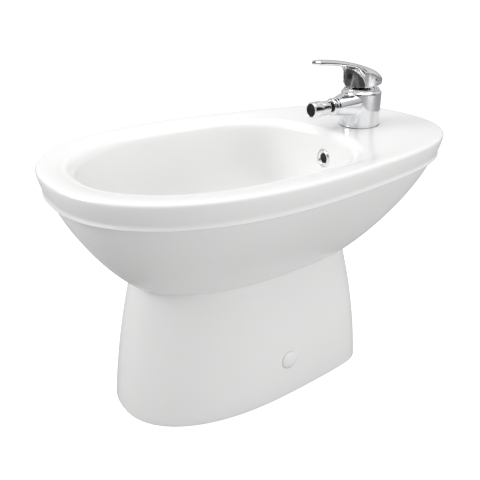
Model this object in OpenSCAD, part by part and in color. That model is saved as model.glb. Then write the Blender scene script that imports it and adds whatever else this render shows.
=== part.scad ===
// Floor standing bidet with a single lever mixer, a push-open waste and hidden side fixings.
// Millimetres. The origin is on the floor under the middle of the rim.
// The nose points to -Y, the wall side to +Y, and Z is up.

/* [Rim] */
// Overall length from the nose to the rear edge
length = 600; // [570:5:630]
// Overall width of the rim
width = 360; // [345:5:380]
// Height of the rim above the floor
rim_height = 360; // [345:5:400]
// Distance from the nose to the widest place
widest_from_nose = 252; // [235:1:270]
// Height of the band round the rim
band_height = 38; // [30:1:42]
// How far the band leans in at its lower edge
band_lean = 9; // [5:1:12]
// Width of the step under the band
band_step = 5; // [3:1:8]
// Radius of the outer top edge
rim_edge_r = 6; // [3:1:8]
// How far the rim's top falls from its outer edge to the bowl
rim_fall = 4; // [2:0.5:6]

/* [Bowl] */
// Width of the rim at the nose
rim_nose = 44; // [40:1:52]
// Width of the rim at the sides
rim_side = 50; // [44:1:54]
// Length of the deck behind the bowl
rim_rear = 178; // [172:1:186]
// Depth of the bowl from the rim to its floor
bowl_depth = 138; // [125:1:142]
// Radius of the bowl's top edge
bowl_edge_r = 14; // [8:1:16]
// Distance of the waste behind the middle of the bowl
waste_shift = 30; // [22:1:34]
// Distance from the rim down to the overflow
overflow_drop = 46; // [42:1:52]

/* [Pedestal] */
// Distance from the rim down to the crease between the belly and the pedestal
crease_drop = 166; // [160:1:174]
// Width of the pedestal at the crease
neck_width = 182; // [174:1:194]
// Distance from the rear edge to the pedestal at the crease
neck_from_rear = 182; // [172:1:190]
// Distance from the nose to the pedestal at the crease
neck_from_nose = 107; // [100:1:114]
// Width of the foot
foot_width = 224; // [214:1:236]
// Distance from the rear edge to the foot
foot_from_rear = 170; // [160:1:180]
// Distance from the nose to the foot
foot_from_nose = 75; // [68:1:82]
// Thickness of the pedestal's wall
pedestal_wall = 12; // [9:1:14]
// Width of the opening at the back of the pedestal
rear_opening_width = 120; // [100:1:130]
// Height of the opening at the back of the pedestal
rear_opening_height = 160; // [140:1:168]

/* [Deck] */
// Distance from the rear edge to the mixer's axis
tap_from_rear = 111; // [107:1:114]
// Diameter of the mixer's hole
tap_hole_d = 35; // [33:1:36]
// Thickness of the deck under the mixer
deck_thickness = 18; // [14:1:22]
// Width of the service pocket under the deck
pocket_width = 136; // [120:1:140]

/* [Overflow] */
// Diameter of the overflow's hole in the casting
overflow_hole_d = 17; // [15:0.5:18]
// Outer diameter of the overflow's chrome ring
overflow_ring_d = 27; // [25:0.5:29]
// Diameter of the cast passage to the waste
passage_d = 11; // [9:0.5:12]

/* [Side fixings] */
// Height of the side screws above the floor
fixing_height = 61; // [56:1:64]
// Distance of the side screws behind the middle of the pedestal
fixing_shift = 30; // [0:1:36]
// Diameter of the side hole through the pedestal
fixing_hole_d = 12; // [11:0.5:13]
// Diameter of the white screw cap
cap_d = 24; // [22:1:28]
// Diameter of the side screw
side_screw_d = 6; // [5:0.5:7]
// Distance between the two floor holes of a bracket
floor_hole_pitch = 40; // [34:1:46]
// Diameter of the floor holes
floor_hole_d = 7; // [5:0.5:9]

/* [Waste] */
// Outer diameter of the waste's thread
waste_thread_d = 41.91; // [40:0.01:43]
// Inner diameter of the waste's tube
waste_bore_d = 36; // [34:0.5:37]
// Diameter of the waste's flange
waste_flange_d = 63; // [58:1:66]
// Length of the waste's tube below its flange
waste_tube_length = 98; // [85:1:110]
// Diameter of the plug's cap
plug_d = 40; // [38:0.5:41]
// Travel of the push-open plug
plug_travel = 8; // [5:0.5:10]

/* [Mixer body] */
// Diameter of the mixer's body
mixer_d = 60; // [57:0.5:62]
// Height of the mixer's body
mixer_height = 54.5; // [54.5:0.5:55.5]
// Height of the spout's axis above the deck
spout_height = 34; // [33:0.5:36]
// Distance from the mixer's axis to the end of the spout
spout_reach = 54; // [52:1:60]
// Diameter of the spout's end
spout_end_d = 26.5; // [26:0.5:28]
// Diameter of the fixing stud
stud_d = 8; // [7:0.5:9]
// Diameter of the two water inlets
inlet_d = 9; // [8:0.1:10]
// Distance between the two water inlets
inlet_pitch = 17; // [16:0.5:18]

/* [Nozzle] */
// Diameter of the nozzle's ball
ball_d = 18; // [17:0.1:18.4]
// Diameter of the nozzle's face
nozzle_d = 23; // [21.5:0.5:24]
// Length of the nozzle in front of the ball's centre
nozzle_length = 43; // [39:1:48]

/* [Cartridge] */
// Diameter of the cartridge's housing
cartridge_d = 35; // [34:0.5:36]
// Height of the lever's pivot above the deck
pivot_height = 35; // [34:0.5:36]
// Diameter of the pivot pin
pin_d = 3.2; // [2.6:0.1:3.6]
// Width of the square stem
stem_width = 8; // [7:0.5:9]

/* [Lever] */
// Height of the lever's lower edge above the deck
lever_skirt = 59.5; // [59.5:0.5:61]
// Diameter of the lever's hub
hub_d = 58; // [55:1:60]
// Highest place of the lever above the deck
lever_top = 104; // [100:0.5:108]
// Distance from the mixer's axis to the lever's tip
lever_reach = 95; // [88:1:104]
// Width of the lever at its tip
lever_tip_width = 18; // [15:1:22]
// Thickness of the lever's blade
lever_thickness = 7.6; // [6.5:0.1:9]

/* [Hidden] */
// Gap between a seated piece and the round or cast surface it lies against
gap = 0.3;
// Radial clearance of a running fit
run_gap = 0.05;
// Overrun of a cut past the face it opens
over = 1;
// Points per side of a horizontal outline, before and behind its widest place
front_points = 18;
rear_points = 20;

// Outline exponents of the rim: nose, rear end, rear corners, and the taper of the rear half
rim_shape = [2.33, 7.2, 2.3, 0.32];
bowl_shape = [2.2, 4.6, 2, 0];
neck_shape = [2.33, 6, 4, 0.15];
foot_shape = [2.6, 14, 7, 0.15];
round_shape = [2, 2, 2, 0];
// Exponents that bend the belly and the bowl walls at the front, rear and sides
belly_bend = [1.27, 1.26, 1.1];
bowl_bend = [1.9, 3.2, 2];
// Share of straight flare in the pedestal's front, rear and sides
flare_mix = [0.6, 0.33, 0.24];

// Places along Y and Z
neck_height = rim_height - crease_drop;
neck_length = length - neck_from_nose - neck_from_rear;
foot_length = length - foot_from_nose - foot_from_rear;
nose_y = -length / 2;
bowl_front = rim_nose;
bowl_rear = length - rim_rear;
bowl_middle = (bowl_front + bowl_rear) / 2;
waste_from_nose = bowl_middle + waste_shift;
bowl_rear_y = nose_y + bowl_rear;
bowl_floor_z = rim_height - bowl_depth;
bowl_edge_z = rim_height - rim_fall;
floor_fall = 4;
// How far the bowl's floor lies in from its opening: nose, rear and sides
floor_inset = [84, 95, 68];
waste_y = nose_y + waste_from_nose;
waste_floor_z = bowl_floor_z - floor_fall;
tap_y = length / 2 - tap_from_rear;
overflow_z = rim_height - overflow_drop;
band_z = rim_height - band_height;
belly_top_z = band_z - 2;
cavity_round = 10;

// Waste seat in the bowl's floor
seat_drop = 3;
waste_seat_z = waste_floor_z - seat_drop;
waste_hole_d = waste_thread_d + 4;
waste_recess_d = waste_flange_d + 3;

// Overflow passage behind the bowl
passage_wall = 10;
passage_sump = 7;
passage_reach = 60;
passage_y = bowl_rear_y + passage_d / 2 + 4.5;
pocket_front_y = passage_y + passage_d / 2 + passage_wall;
pocket_rear_wall = 45;
pocket_rear_y = length / 2 - pocket_rear_wall;
pocket_corner_r = 18;
rear_opening_rise = 55;
overflow_seat_y = bowl_rear_y + 0.6;

// Flat seat of the mixer, level with the lowest place of the sloping deck under it
seat_r = mixer_d / 2 + 1.5;
deck_rear_y = length / 2 - rim_edge_r;
deck_front_y = bowl_rear_y + bowl_edge_r;
deck_z = rim_height - rim_fall * (deck_rear_y - tap_y + seat_r) / (deck_rear_y - deck_front_y);

// Side fixing
fixing_seat_drop = 3;

function mix(a, b, t) = a + (b - a) * t;
function bend(t, q) = 1 - pow(max(0, 1 - pow(t, q)), 1 / q);
function rise(t, q) = pow(max(0, 1 - pow(1 - t, q)), 1 / q);

// A horizontal section is [front, rear, half width, widest place, shape], with Y counted from the nose.
function section(front, rear, half, mid, shape) = concat([front, rear, half, mid], shape);

function front_point(s, w) = [
    s[2] * pow(sin(90 * w), 2 / s[4]),
    s[3] - (s[3] - s[0]) * pow(cos(90 * w), 2 / s[4])
];

function rear_point(s, v) =
    let (t = sin(90 * v))
    [
        s[2] * (1 - s[7] * pow(t, 1.5)) * pow(max(0, 1 - pow(t, s[5])), 1 / s[6]),
        mix(s[3], s[1], t)
    ];

function half_outline(s) = concat(
    [for (i = [0:front_points]) front_point(s, i / front_points)],
    [for (i = [1:rear_points]) rear_point(s, i / rear_points)]
);

function ring(s, z) =
    let (right = half_outline(s), n = len(right))
    concat(
        [for (p = right) [p[0], nose_y + p[1], z]],
        [for (i = [n - 2:-1:1]) [-right[i][0], nose_y + right[i][1], z]]
    );

// Outer skin of the rim and its band, moved in by an inset
function rim_section(inset) =
    section(inset, length - inset, width / 2 - inset, widest_from_nose, rim_shape);

function band_ring(t) = ring(rim_section(band_lean * pow(t, 2)), mix(rim_height - rim_edge_r, band_z, t));

function edge_ring(angle) = ring(
    rim_section(rim_edge_r * (1 - cos(angle))),
    rim_height - rim_edge_r * (1 - sin(angle))
);

neck_section = section(
    neck_from_nose, neck_from_nose + neck_length, neck_width / 2, neck_from_nose + neck_length / 2, neck_shape
);
foot_section = section(
    foot_from_nose, foot_from_nose + foot_length, foot_width / 2, foot_from_nose + foot_length / 2, foot_shape
);

// The belly runs from the step under the band down to the crease.
function belly_section(t) =
    let (top = rim_section(band_lean + band_step))
    concat(
        [for (i = [0:2]) mix(top[i], neck_section[i], bend(t, belly_bend[i]))],
        [for (i = [3:7]) mix(top[i], neck_section[i], t)]
    );

function belly_ring(t) = ring(belly_section(t), mix(belly_top_z, neck_height, t));

// The pedestal flares from the crease down to the foot.
function flare(share, s) = share * s + (1 - share) * (1 - pow(1 - s, 2));

function pedestal_section(z) =
    let (s = 1 - z / neck_height)
    concat(
        [for (i = [0:2]) mix(neck_section[i], foot_section[i], flare(flare_mix[i], s))],
        [for (i = [3:7]) mix(neck_section[i], foot_section[i], s)]
    );

// Half width of a section at a distance behind its widest place
function half_behind(s, y) =
    let (t = y / (s[1] - s[3]))
    s[2] * (1 - s[7] * pow(t, 1.5)) * pow(1 - pow(t, s[5]), 1 / s[6]);

function shrunk(s, inset) = concat([s[0] + inset, s[1] - inset, s[2] - inset], [for (i = [3:7]) s[i]]);

function pedestal_ring(z, inset) = ring(shrunk(pedestal_section(z), inset), z);

// The bowl's wall runs from its rounded edge down to its floor.
function bowl_section(grow) = section(
    bowl_front - grow, bowl_rear + grow, width / 2 - rim_side + grow, mix(bowl_front, bowl_rear, 0.49), bowl_shape
);

floor_section = section(
    bowl_front + floor_inset[0], bowl_rear - floor_inset[1], width / 2 - rim_side - floor_inset[2],
    waste_from_nose, bowl_shape
);

function bowl_wall_section(t) =
    let (top = bowl_section(0))
    concat(
        [for (i = [0:2]) mix(top[i], floor_section[i], bend(t, bowl_bend[i]))],
        [for (i = [3:7]) mix(top[i], floor_section[i], t)]
    );

function bowl_wall_ring(t) = ring(bowl_wall_section(t), mix(bowl_edge_z - bowl_edge_r, bowl_floor_z, t));

function bowl_edge_ring(angle) = ring(
    bowl_section(bowl_edge_r * (1 - sin(angle))),
    bowl_edge_z - bowl_edge_r * (1 - cos(angle))
);

function floor_ring(r, z) = ring(
    section(waste_from_nose - r, waste_from_nose + r, r, waste_from_nose, round_shape), z
);

// Seat plane, outer wall and inner wall of the pedestal at the side fixing
fixing_y = nose_y + pedestal_section(fixing_height)[3] + fixing_shift;
wall_outer_x = half_behind(pedestal_section(fixing_height), fixing_shift);
fixing_seat_x = wall_outer_x - fixing_seat_drop;
wall_inner_x = wall_outer_x - pedestal_wall;

// Waste stack, from the bowl's floor down
seal_thickness = 1.5;
flange_thickness = 2.5;
flange_top_z = waste_seat_z + seal_thickness + flange_thickness;
cavity_z = neck_height;
lower_seal_thickness = 4;
waste_washer_thickness = 2;
back_nut_height = 12;
back_nut_flats = 56;
nut_stack = lower_seal_thickness + waste_washer_thickness + back_nut_height;
relief_drop = 4;
relief_height = 2;
tube_end_z = flange_top_z - waste_tube_length;
thread_gap = 0.2;

// Push-open mechanism inside the waste
guide_drop = 66;
guide_z = flange_top_z - guide_drop;
guide_height = 8;
clicker_r = 7.5;
clicker_height = 28;
plug_stem_r = 3;
plug_dome = 5;
seat_depth = 6.5;
seat_top_r = plug_d / 2 + 0.8;

// Mixer, measured up from the deck
base_gasket_height = 2;
base_lift = 0.8;
shoulder = 3;
cartridge_floor = 14;
cartridge_r = cartridge_d / 2;
cartridge_wall = 3.2;
guide_r = cartridge_r - cartridge_wall - gap;
inlet_y = -1;
stud_y = 10.5;
stud_length = 72;
outlet_y = -9;
riser_y = -23;
riser_r = 3.3;
spout_root_shift = 4;
spout_root_drop = 15;
spout_root_height = 30;
spout_root_inset = 4.5;
socket_depth = 12;
inlet_depth = 9;
duct_z = 8;
stud_hole_depth = 11;
port_r = 3;
disc_z = cartridge_floor + 3.4;
disc_height = 3;
slide_gap = 0.15;
moving_disc_height = 3.2;
carrier_height = 4.5;
disc_r = 10.3;
moving_disc_z = disc_z + disc_height + slide_gap;
carrier_z = moving_disc_z + moving_disc_height;
stem_ball_r = 3;
stem_ball_z = carrier_z + stem_ball_r + 0.2;
guide_bottom = carrier_z + carrier_height + gap;
guide_top = pivot_height + 9;
nut_top = guide_top + 7.5;
lift_range = 20;

// Lever
lever_rear_z = 71;
skirt_slant = 6;
hub_r = hub_d / 2;
arch_half = 23.5;
arch_foot = lever_skirt + 4;
arch_top = lever_top - 17;
arch_depth = 2.6;
lever_stations = 16;
hub_stations = 8;
lever_points = 32;
stem_top = 80;
plug_height = 75;
indicator_r = 4.6;

// Nozzle, measured forward from the ball's centre
ball_r = ball_d / 2;
nozzle_r = nozzle_d / 2;
ball_gap = 0.3;
ring_length = 5.8;
neck_r = 5.1;
barrel_start = 9;
barrel_end = 26;
aerator_r = nozzle_r - 2;

// ---------------------------------------------------------------- helpers

// A closed skin through a list of rings with equal counts, ended by a point at each end
module skin(first, rings, last) {
    n = len(rings[0]);
    count = len(rings);
    points = concat([first], [for (r = rings) for (p = r) p], [last]);
    start_cap = [for (j = [0:n - 1]) [0, 1 + j, 1 + (j + 1) % n]];
    sides = [
        for (i = [0:count - 2]) for (j = [0:n - 1])
            let (a = 1 + i * n + j, b = 1 + i * n + (j + 1) % n)
            each [[a, a + n, b], [b, a + n, b + n]]
    ];
    tail = 1 + (count - 1) * n;
    end_cap = [for (j = [0:n - 1]) [count * n + 1, tail + (j + 1) % n, tail + j]];
    polyhedron(points, concat(start_cap, sides, end_cap), convexity = 8);
}

function rounded_rectangle(w, d, r, steps) = [
    for (q = [0:3]) for (k = [0:steps])
        let (x_side = q == 0 || q == 3 ? 1 : -1, y_side = q < 2 ? 1 : -1, a = 90 * (q + k / steps))
        [x_side * (w / 2 - r) + r * cos(a), y_side * (d / 2 - r) + r * sin(a)]
];

function arch_outline(half, foot, spring, crown, steps) = concat(
    [[-half, foot], [half, foot]],
    [for (k = [0:steps]) [half * cos(180 * k / steps), spring + (crown - spring) * sin(180 * k / steps)]]
);

// Turns a shape so that its Z points to the nose
module to_nose() {
    rotate([90, 0, 0]) children();
}

// Turns a shape so that its Z points to +X
module to_side() {
    rotate([0, 90, 0]) children();
}

module both_sides() {
    children();
    mirror([1, 0, 0]) children();
}

module tube(outer_r, inner_r, height) {
    difference() {
        cylinder(r = outer_r, h = height, $fn = 64);
        translate([0, 0, -over]) cylinder(r = inner_r, h = height + 2 * over, $fn = 64);
    }
}

module rod(r, height) {
    cylinder(r = r, h = height, $fn = 48);
}

module at_waste(z) {
    translate([0, waste_y, z]) children();
}

module at_tap(z) {
    translate([0, tap_y, deck_z + z]) children();
}

module at_side_fixing(x) {
    translate([x, fixing_y, fixing_height]) to_side() children();
}

// Z points forward out of the spout, from the ball's centre
module at_ball(z) {
    translate([0, tap_y - spout_reach - z, deck_z + spout_height]) to_nose() children();
}

// ---------------------------------------------------------------- casting

module casting_skin() {
    cavity = [
        pedestal_ring(cavity_z, pedestal_wall + cavity_round),
        pedestal_ring(cavity_z - cavity_round * 0.3, pedestal_wall + cavity_round * 0.3),
        pedestal_ring(cavity_z - cavity_round, pedestal_wall),
        for (k = [3:-1:0]) pedestal_ring(neck_height * 0.92 * k / 4, pedestal_wall)
    ];
    foot = [pedestal_ring(0, 2), pedestal_ring(2.5, 0)];
    pedestal = [for (k = [1:8]) pedestal_ring(neck_height * k / 8, 0)];
    belly = [for (k = [9:-1:0]) belly_ring(k / 10)];
    step = [ring(rim_section(band_lean + band_step * 0.4), band_z - 0.7)];
    band = [for (k = [4:-1:0]) band_ring(k / 4)];
    edge = [for (k = [1:3]) edge_ring(30 * k)];
    bowl_edge = [for (k = [0:3]) bowl_edge_ring(30 * k)];
    bowl_wall = [for (k = [1:9]) bowl_wall_ring(sin(10 * k))];
    bowl_floor = [floor_ring(waste_recess_d / 2 + 6, waste_floor_z + 0.6)];
    skin(
        [0, waste_y, cavity_z],
        concat(cavity, foot, pedestal, belly, step, band, edge, bowl_edge, bowl_wall, bowl_floor),
        [0, waste_y, waste_floor_z]
    );
}

module waste_cuts() {
    at_waste(waste_seat_z) rod(waste_recess_d / 2, bowl_depth);
    at_waste(cavity_z - over) rod(waste_hole_d / 2, bowl_depth);
}

module passage_cuts() {
    run = passage_y - waste_y;
    top_z = bowl_floor_z + 2;
    end_z = (waste_seat_z + cavity_z) / 2 + 1;
    slope = atan((top_z - end_z) / run);
    translate([0, overflow_seat_y, overflow_z]) to_nose() rod(overflow_ring_d / 2 + 2 * gap, passage_reach);
    translate([0, passage_y, overflow_z]) to_nose() rod(overflow_hole_d / 2, passage_reach);
    translate([0, passage_y, top_z - passage_sump]) rod(passage_d / 2, overflow_z - top_z + passage_sump);
    translate([0, passage_y, top_z]) rotate([90 + slope, 0, 0]) translate([0, 0, -over])
        rod(passage_d / 2 - gap, run / cos(slope) + over);
}

// The service pocket is open below, through the sloping back of the belly.
module pocket_cuts() {
    depth = pocket_rear_y - pocket_front_y;
    translate([0, (pocket_front_y + pocket_rear_y) / 2, neck_height])
        linear_extrude(deck_z - deck_thickness - neck_height)
            polygon(rounded_rectangle(pocket_width, depth, pocket_corner_r, 6));
}

module rear_opening() {
    rear_y = nose_y + foot_from_nose + foot_length;
    half = rear_opening_width / 2;
    spring = rear_opening_height - rear_opening_rise;
    translate([0, rear_y + 2 * pedestal_wall, 0]) to_nose()
        linear_extrude(5 * pedestal_wall) polygon(arch_outline(half, -over, spring, rear_opening_height, 12));
}

module fixing_cuts() {
    both_sides() at_side_fixing(fixing_seat_x) rod(cap_d / 2 + 2, 2 * pedestal_wall);
    both_sides() at_side_fixing(wall_inner_x - pedestal_wall) rod(fixing_hole_d / 2, 3 * pedestal_wall);
}

module ceramic_body() {
    color("white") difference() {
        casting_skin();
        waste_cuts();
        passage_cuts();
        pocket_cuts();
        rear_opening();
        fixing_cuts();
        at_tap(-deck_thickness - over) rod(tap_hole_d / 2, deck_thickness + 2 * over);
        at_tap(0) cylinder(r = seat_r, h = rim_fall + over, $fn = 96);
    }
}

// ---------------------------------------------------------------- overflow ring

module overflow_ring() {
    lip = 3;
    sleeve = 9;
    bore_r = overflow_hole_d / 2 - 1.2;
    color("silver") translate([0, overflow_seat_y, overflow_z]) to_nose() difference() {
        union() {
            translate([0, 0, -sleeve]) rod(overflow_hole_d / 2 - 0.2, sleeve + over);
            cylinder(r = overflow_ring_d / 2, h = lip / 2, $fn = 64);
            translate([0, 0, lip / 2])
                cylinder(r1 = overflow_ring_d / 2, r2 = overflow_ring_d / 2 - 1.6, h = lip / 2, $fn = 64);
        }
        translate([0, 0, -sleeve - over]) rod(bore_r, sleeve + lip + 2 * over);
        translate([0, 0, lip - 1.5]) cylinder(r1 = bore_r, r2 = bore_r + 2.2, h = 1.5 + over, $fn = 64);
    }
}

// ---------------------------------------------------------------- side fixings

sleeve_flange = 1.5;
sleeve_flange_r = fixing_hole_d / 2 + 2.5;
bracket_thickness = 4;
bracket_height = fixing_height + 13;
bracket_length = floor_hole_pitch + 20;
bracket_depth = 30;
leg_length = 36;
gusset_depth = 12;
bracket_x = half_behind(shrunk(pedestal_section(bracket_height), pedestal_wall), fixing_shift + leg_length / 2) - gap;
floor_hole_x = bracket_x - bracket_depth + 10;
bracket_nut_height = 5;
screw_tip_x = bracket_x - bracket_thickness - bracket_nut_height - 3;

module floor_bracket() {
    difference() {
        union() {
            translate([bracket_x - bracket_depth, fixing_y - bracket_length / 2, 0])
                cube([bracket_depth, bracket_length, bracket_thickness]);
            translate([bracket_x - bracket_thickness, fixing_y - leg_length / 2, 0])
                cube([bracket_thickness, leg_length, bracket_height]);
            for (end = [-1, 1]) translate([bracket_x, fixing_y + end * (leg_length / 2 - 2) + 2, 0])
                to_nose() linear_extrude(4) polygon([[0, 0], [-gusset_depth, 0], [0, bracket_height - 8]]);
        }
        at_side_fixing(bracket_x - bracket_thickness - over) rod(side_screw_d / 2 + 0.2, 3 * bracket_thickness);
        for (end = [-1, 1])
            translate([floor_hole_x, fixing_y + end * floor_hole_pitch / 2, -over])
                rod(floor_hole_d / 2, bracket_thickness + 2 * over);
    }
}

module floor_brackets() {
    color("gainsboro") both_sides() floor_bracket();
}

module bracket_nuts() {
    color("silver") both_sides() at_side_fixing(bracket_x - bracket_thickness - bracket_nut_height)
        difference() {
            cylinder(r = side_screw_d * 0.96, h = bracket_nut_height, $fn = 6);
            translate([0, 0, -over]) rod(side_screw_d / 2 + run_gap, bracket_nut_height + 2 * over);
        }
}

module side_sleeves() {
    shank = pedestal_wall - fixing_seat_drop;
    color("ivory") both_sides() at_side_fixing(fixing_seat_x) difference() {
        union() {
            rod(sleeve_flange_r, sleeve_flange);
            translate([0, 0, -shank]) rod(fixing_hole_d / 2 - 0.2, shank + 0.5);
        }
        translate([0, 0, -shank - over]) rod(side_screw_d / 2 + 0.2, shank + sleeve_flange + 2 * over);
    }
}

module side_screws() {
    head = 3.4;
    seat_x = fixing_seat_x + sleeve_flange;
    color("silver") both_sides() at_side_fixing(screw_tip_x) difference() {
        union() {
            rod(side_screw_d / 2, seat_x - screw_tip_x);
            translate([0, 0, seat_x - screw_tip_x])
                cylinder(r1 = side_screw_d * 0.95, r2 = side_screw_d * 0.7, h = head, $fn = 48);
        }
        translate([0, 0, seat_x - screw_tip_x + head - 1.8]) cylinder(r = 2.3, h = 3, $fn = 6);
    }
}

module screw_caps() {
    rim_h = 3.2;
    dome_h = 3.6;
    color("white") both_sides() at_side_fixing(fixing_seat_x) difference() {
        rotate_extrude($fn = 64) polygon(concat(
            [[0, 0], [cap_d / 2, 0]],
            [for (k = [0:6]) [cap_d / 2 * cos(15 * k), rim_h + dome_h * sin(15 * k)]]
        ));
        translate([0, 0, -over]) rod(sleeve_flange_r + gap, over + 5.4);
    }
}

// ---------------------------------------------------------------- waste

module waste_body() {
    thread_r = waste_thread_d / 2;
    bore_r = waste_bore_d / 2;
    flange_z = waste_seat_z + seal_thickness;
    slot_z = (waste_seat_z + cavity_z) / 2 + 1;
    color("silver") difference() {
        union() {
            at_waste(tube_end_z) rod(thread_r, waste_tube_length - flange_thickness + 0.5);
            at_waste(flange_z) rod(waste_flange_d / 2, flange_thickness - 1);
            at_waste(flange_z + flange_thickness - 1)
                cylinder(r1 = waste_flange_d / 2, r2 = waste_flange_d / 2 - 2.5, h = 1, $fn = 96);
        }
        at_waste(tube_end_z - over) rod(bore_r, waste_tube_length + 2 * over);
        at_waste(flange_top_z - seat_depth)
            cylinder(r1 = bore_r, r2 = seat_top_r, h = seat_depth, $fn = 96);
        at_waste(flange_top_z - 0.01) rod(seat_top_r, 2);
        for (turn = [0, 90]) at_waste(slot_z) rotate([90, 0, turn])
            translate([0, 0, -thread_r - over]) rod(5, 2 * thread_r + 2 * over);
        at_waste(cavity_z - nut_stack - relief_drop - relief_height) tube(thread_r + over, thread_r - 0.8, relief_height);
    }
}

module waste_upper_seal() {
    color("dimgray") at_waste(waste_seat_z) tube(waste_flange_d / 2 - 1, waste_hole_d / 2, seal_thickness);
}

module waste_lower_seal() {
    color("dimgray") at_waste(cavity_z - lower_seal_thickness)
        tube(waste_hole_d / 2 + 9, waste_thread_d / 2 + thread_gap, lower_seal_thickness);
}

module waste_washer() {
    color("white") at_waste(cavity_z - lower_seal_thickness - waste_washer_thickness)
        tube(waste_hole_d / 2 + 9, waste_thread_d / 2 + thread_gap, waste_washer_thickness);
}

module waste_back_nut() {
    color("silver") at_waste(cavity_z - nut_stack) difference() {
        cylinder(r = back_nut_flats / sqrt(3), h = back_nut_height, $fn = 6);
        translate([0, 0, -over]) rod(waste_thread_d / 2 + thread_gap, back_nut_height + 2 * over);
    }
}

module plug_guide() {
    bore_r = waste_bore_d / 2;
    color("white") at_waste(guide_z) {
        tube(bore_r - 0.1, bore_r - 2.2, guide_height);
        difference() {
            union() {
                rod(clicker_r, guide_height);
                for (turn = [0, 120, 240]) rotate([0, 0, turn])
                    translate([0, -1.2, 0]) cube([bore_r - 1.2, 2.4, guide_height]);
            }
            translate([0, 0, -over]) rod(plug_stem_r + gap, guide_height + 2 * over);
        }
    }
}

module plug_clicker() {
    color("white") at_waste(guide_z + guide_height) difference() {
        rod(clicker_r, clicker_height);
        translate([0, 0, -over]) rod(plug_stem_r + run_gap, clicker_height + 2 * over);
    }
}

plug_seat_z = flange_top_z - 3.2;

module plug_stem() {
    bottom = guide_z + 2;
    color("silver") at_waste(bottom) rod(plug_stem_r, plug_seat_z + 2 - bottom);
}

// Radius of the waste's conical seat at a height
function cone_r(z) = mix(waste_bore_d / 2, seat_top_r, (z - flange_top_z + seat_depth) / seat_depth);

module plug_seal() {
    color("dimgray") at_waste(plug_seat_z) difference() {
        cylinder(r1 = cone_r(plug_seat_z) - gap, r2 = cone_r(plug_seat_z + 2) - gap, h = 2, $fn = 64);
        translate([0, 0, -over]) rod(plug_stem_r + 1.5, 2 + 2 * over);
    }
}

module plug_cap() {
    top_r = plug_d / 2;
    edge = 1.2;
    color("silver") at_waste(plug_seat_z + 2) {
        rotate_extrude($fn = 96) polygon(concat(
            [[0, 0], [top_r, 0]],
            [for (k = [0:8]) [top_r * cos(11.25 * k), edge + (plug_dome - edge) * sin(11.25 * k)]]
        ));
        translate([0, 0, -2]) tube(plug_stem_r + 1.4, plug_stem_r + run_gap, 2.5);
    }
}

// ---------------------------------------------------------------- mixer body

module water_ways() {
    // Cartridge bore, inlets, fixing stud
    translate([0, 0, cartridge_floor]) rod(cartridge_r + 0.5, mixer_height);
    for (side = [-1, 1]) translate([side * inlet_pitch / 2, inlet_y, 0]) rod(inlet_d / 2, inlet_depth);
    for (side = [-1, 1]) translate([side * inlet_pitch / 2, inlet_y, duct_z]) rod(port_r, duct_z);
    translate([0, stud_y, 0]) rod(stud_d / 2 + run_gap, stud_hole_depth);
    // Outlet: down from the cartridge, forward and up to the spout
    translate([0, outlet_y, duct_z]) rod(port_r, duct_z);
    translate([0, outlet_y, duct_z]) to_nose() rod(port_r, outlet_y - riser_y);
    translate([0, riser_y, duct_z - over]) rod(riser_r, spout_height - duct_z);
    translate([0, riser_y + 2, spout_height]) to_nose() rod(4, spout_reach + riser_y - 2);
}

module mixer_body() {
    body_r = mixer_d / 2;
    end_r = spout_end_d / 2;
    color("silver") at_tap(0) difference() {
        union() {
            translate([0, 0, base_lift]) cylinder(r = body_r, h = mixer_height - shoulder - base_lift, $fn = 96);
            translate([0, 0, mixer_height - shoulder])
                cylinder(r1 = body_r, r2 = body_r - shoulder, h = shoulder, $fn = 96);
            hull() {
                translate([0, -spout_root_shift, spout_height - spout_root_drop])
                    cylinder(r = body_r - spout_root_inset, h = spout_root_height, $fn = 48);
                translate([0, socket_depth / 2 - spout_reach, spout_height])
                    to_nose() cylinder(r = end_r - 0.4, h = socket_depth / 4, $fn = 48);
            }
            translate([0, socket_depth - spout_reach, spout_height])
                to_nose() cylinder(r = end_r, h = socket_depth, $fn = 64);
        }
        water_ways();
        translate([0, 0, base_lift - over]) difference() {
            rod(body_r - 1.5, base_gasket_height - base_lift + over);
            translate([0, 0, -over]) rod(body_r - 8, base_gasket_height + 4 * over);
        }
        translate([0, 9 - spout_reach, spout_height]) to_nose() rod(ball_r + 1.6, 9 + over);
        translate([0, 6 - spout_reach, spout_height]) to_nose() rod(ball_r + 2.6, 6 + over);
    }
}

module base_gasket() {
    color("dimgray") at_tap(0) tube(mixer_d / 2 - 1.8, mixer_d / 2 - 7.7, base_gasket_height);
}

module fixing_stud() {
    color("silver") at_tap(stud_hole_depth - over - stud_length) translate([0, stud_y, 0]) rod(stud_d / 2, stud_length);
}

module horseshoe(outer_r, height) {
    linear_gap = inlet_pitch / 2 + 5.5;
    difference() {
        rod(outer_r, height);
        translate([-linear_gap, -outer_r - over, -over]) cube([2 * linear_gap, outer_r + 5, height + 2 * over]);
        translate([0, stud_y, -over]) rod(stud_d / 2 + gap, height + 2 * over);
    }
}

clamp_gasket_height = 2;
clamp_washer_height = 2.5;
stud_nut_height = 8;

module clamp_gasket() {
    color("dimgray") at_tap(-deck_thickness - clamp_gasket_height) horseshoe(23, clamp_gasket_height);
}

module clamp_washer() {
    color("silver") at_tap(-deck_thickness - clamp_gasket_height - clamp_washer_height)
        horseshoe(22.5, clamp_washer_height);
}

module stud_nut() {
    drop = deck_thickness + clamp_gasket_height + clamp_washer_height + stud_nut_height;
    color("goldenrod") at_tap(-drop) translate([0, stud_y, 0]) difference() {
        cylinder(r = stud_d * 0.94, h = stud_nut_height, $fn = 6);
        translate([0, 0, -over]) rod(stud_d / 2 + run_gap, stud_nut_height + 2 * over);
    }
}

// ---------------------------------------------------------------- cartridge

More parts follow.
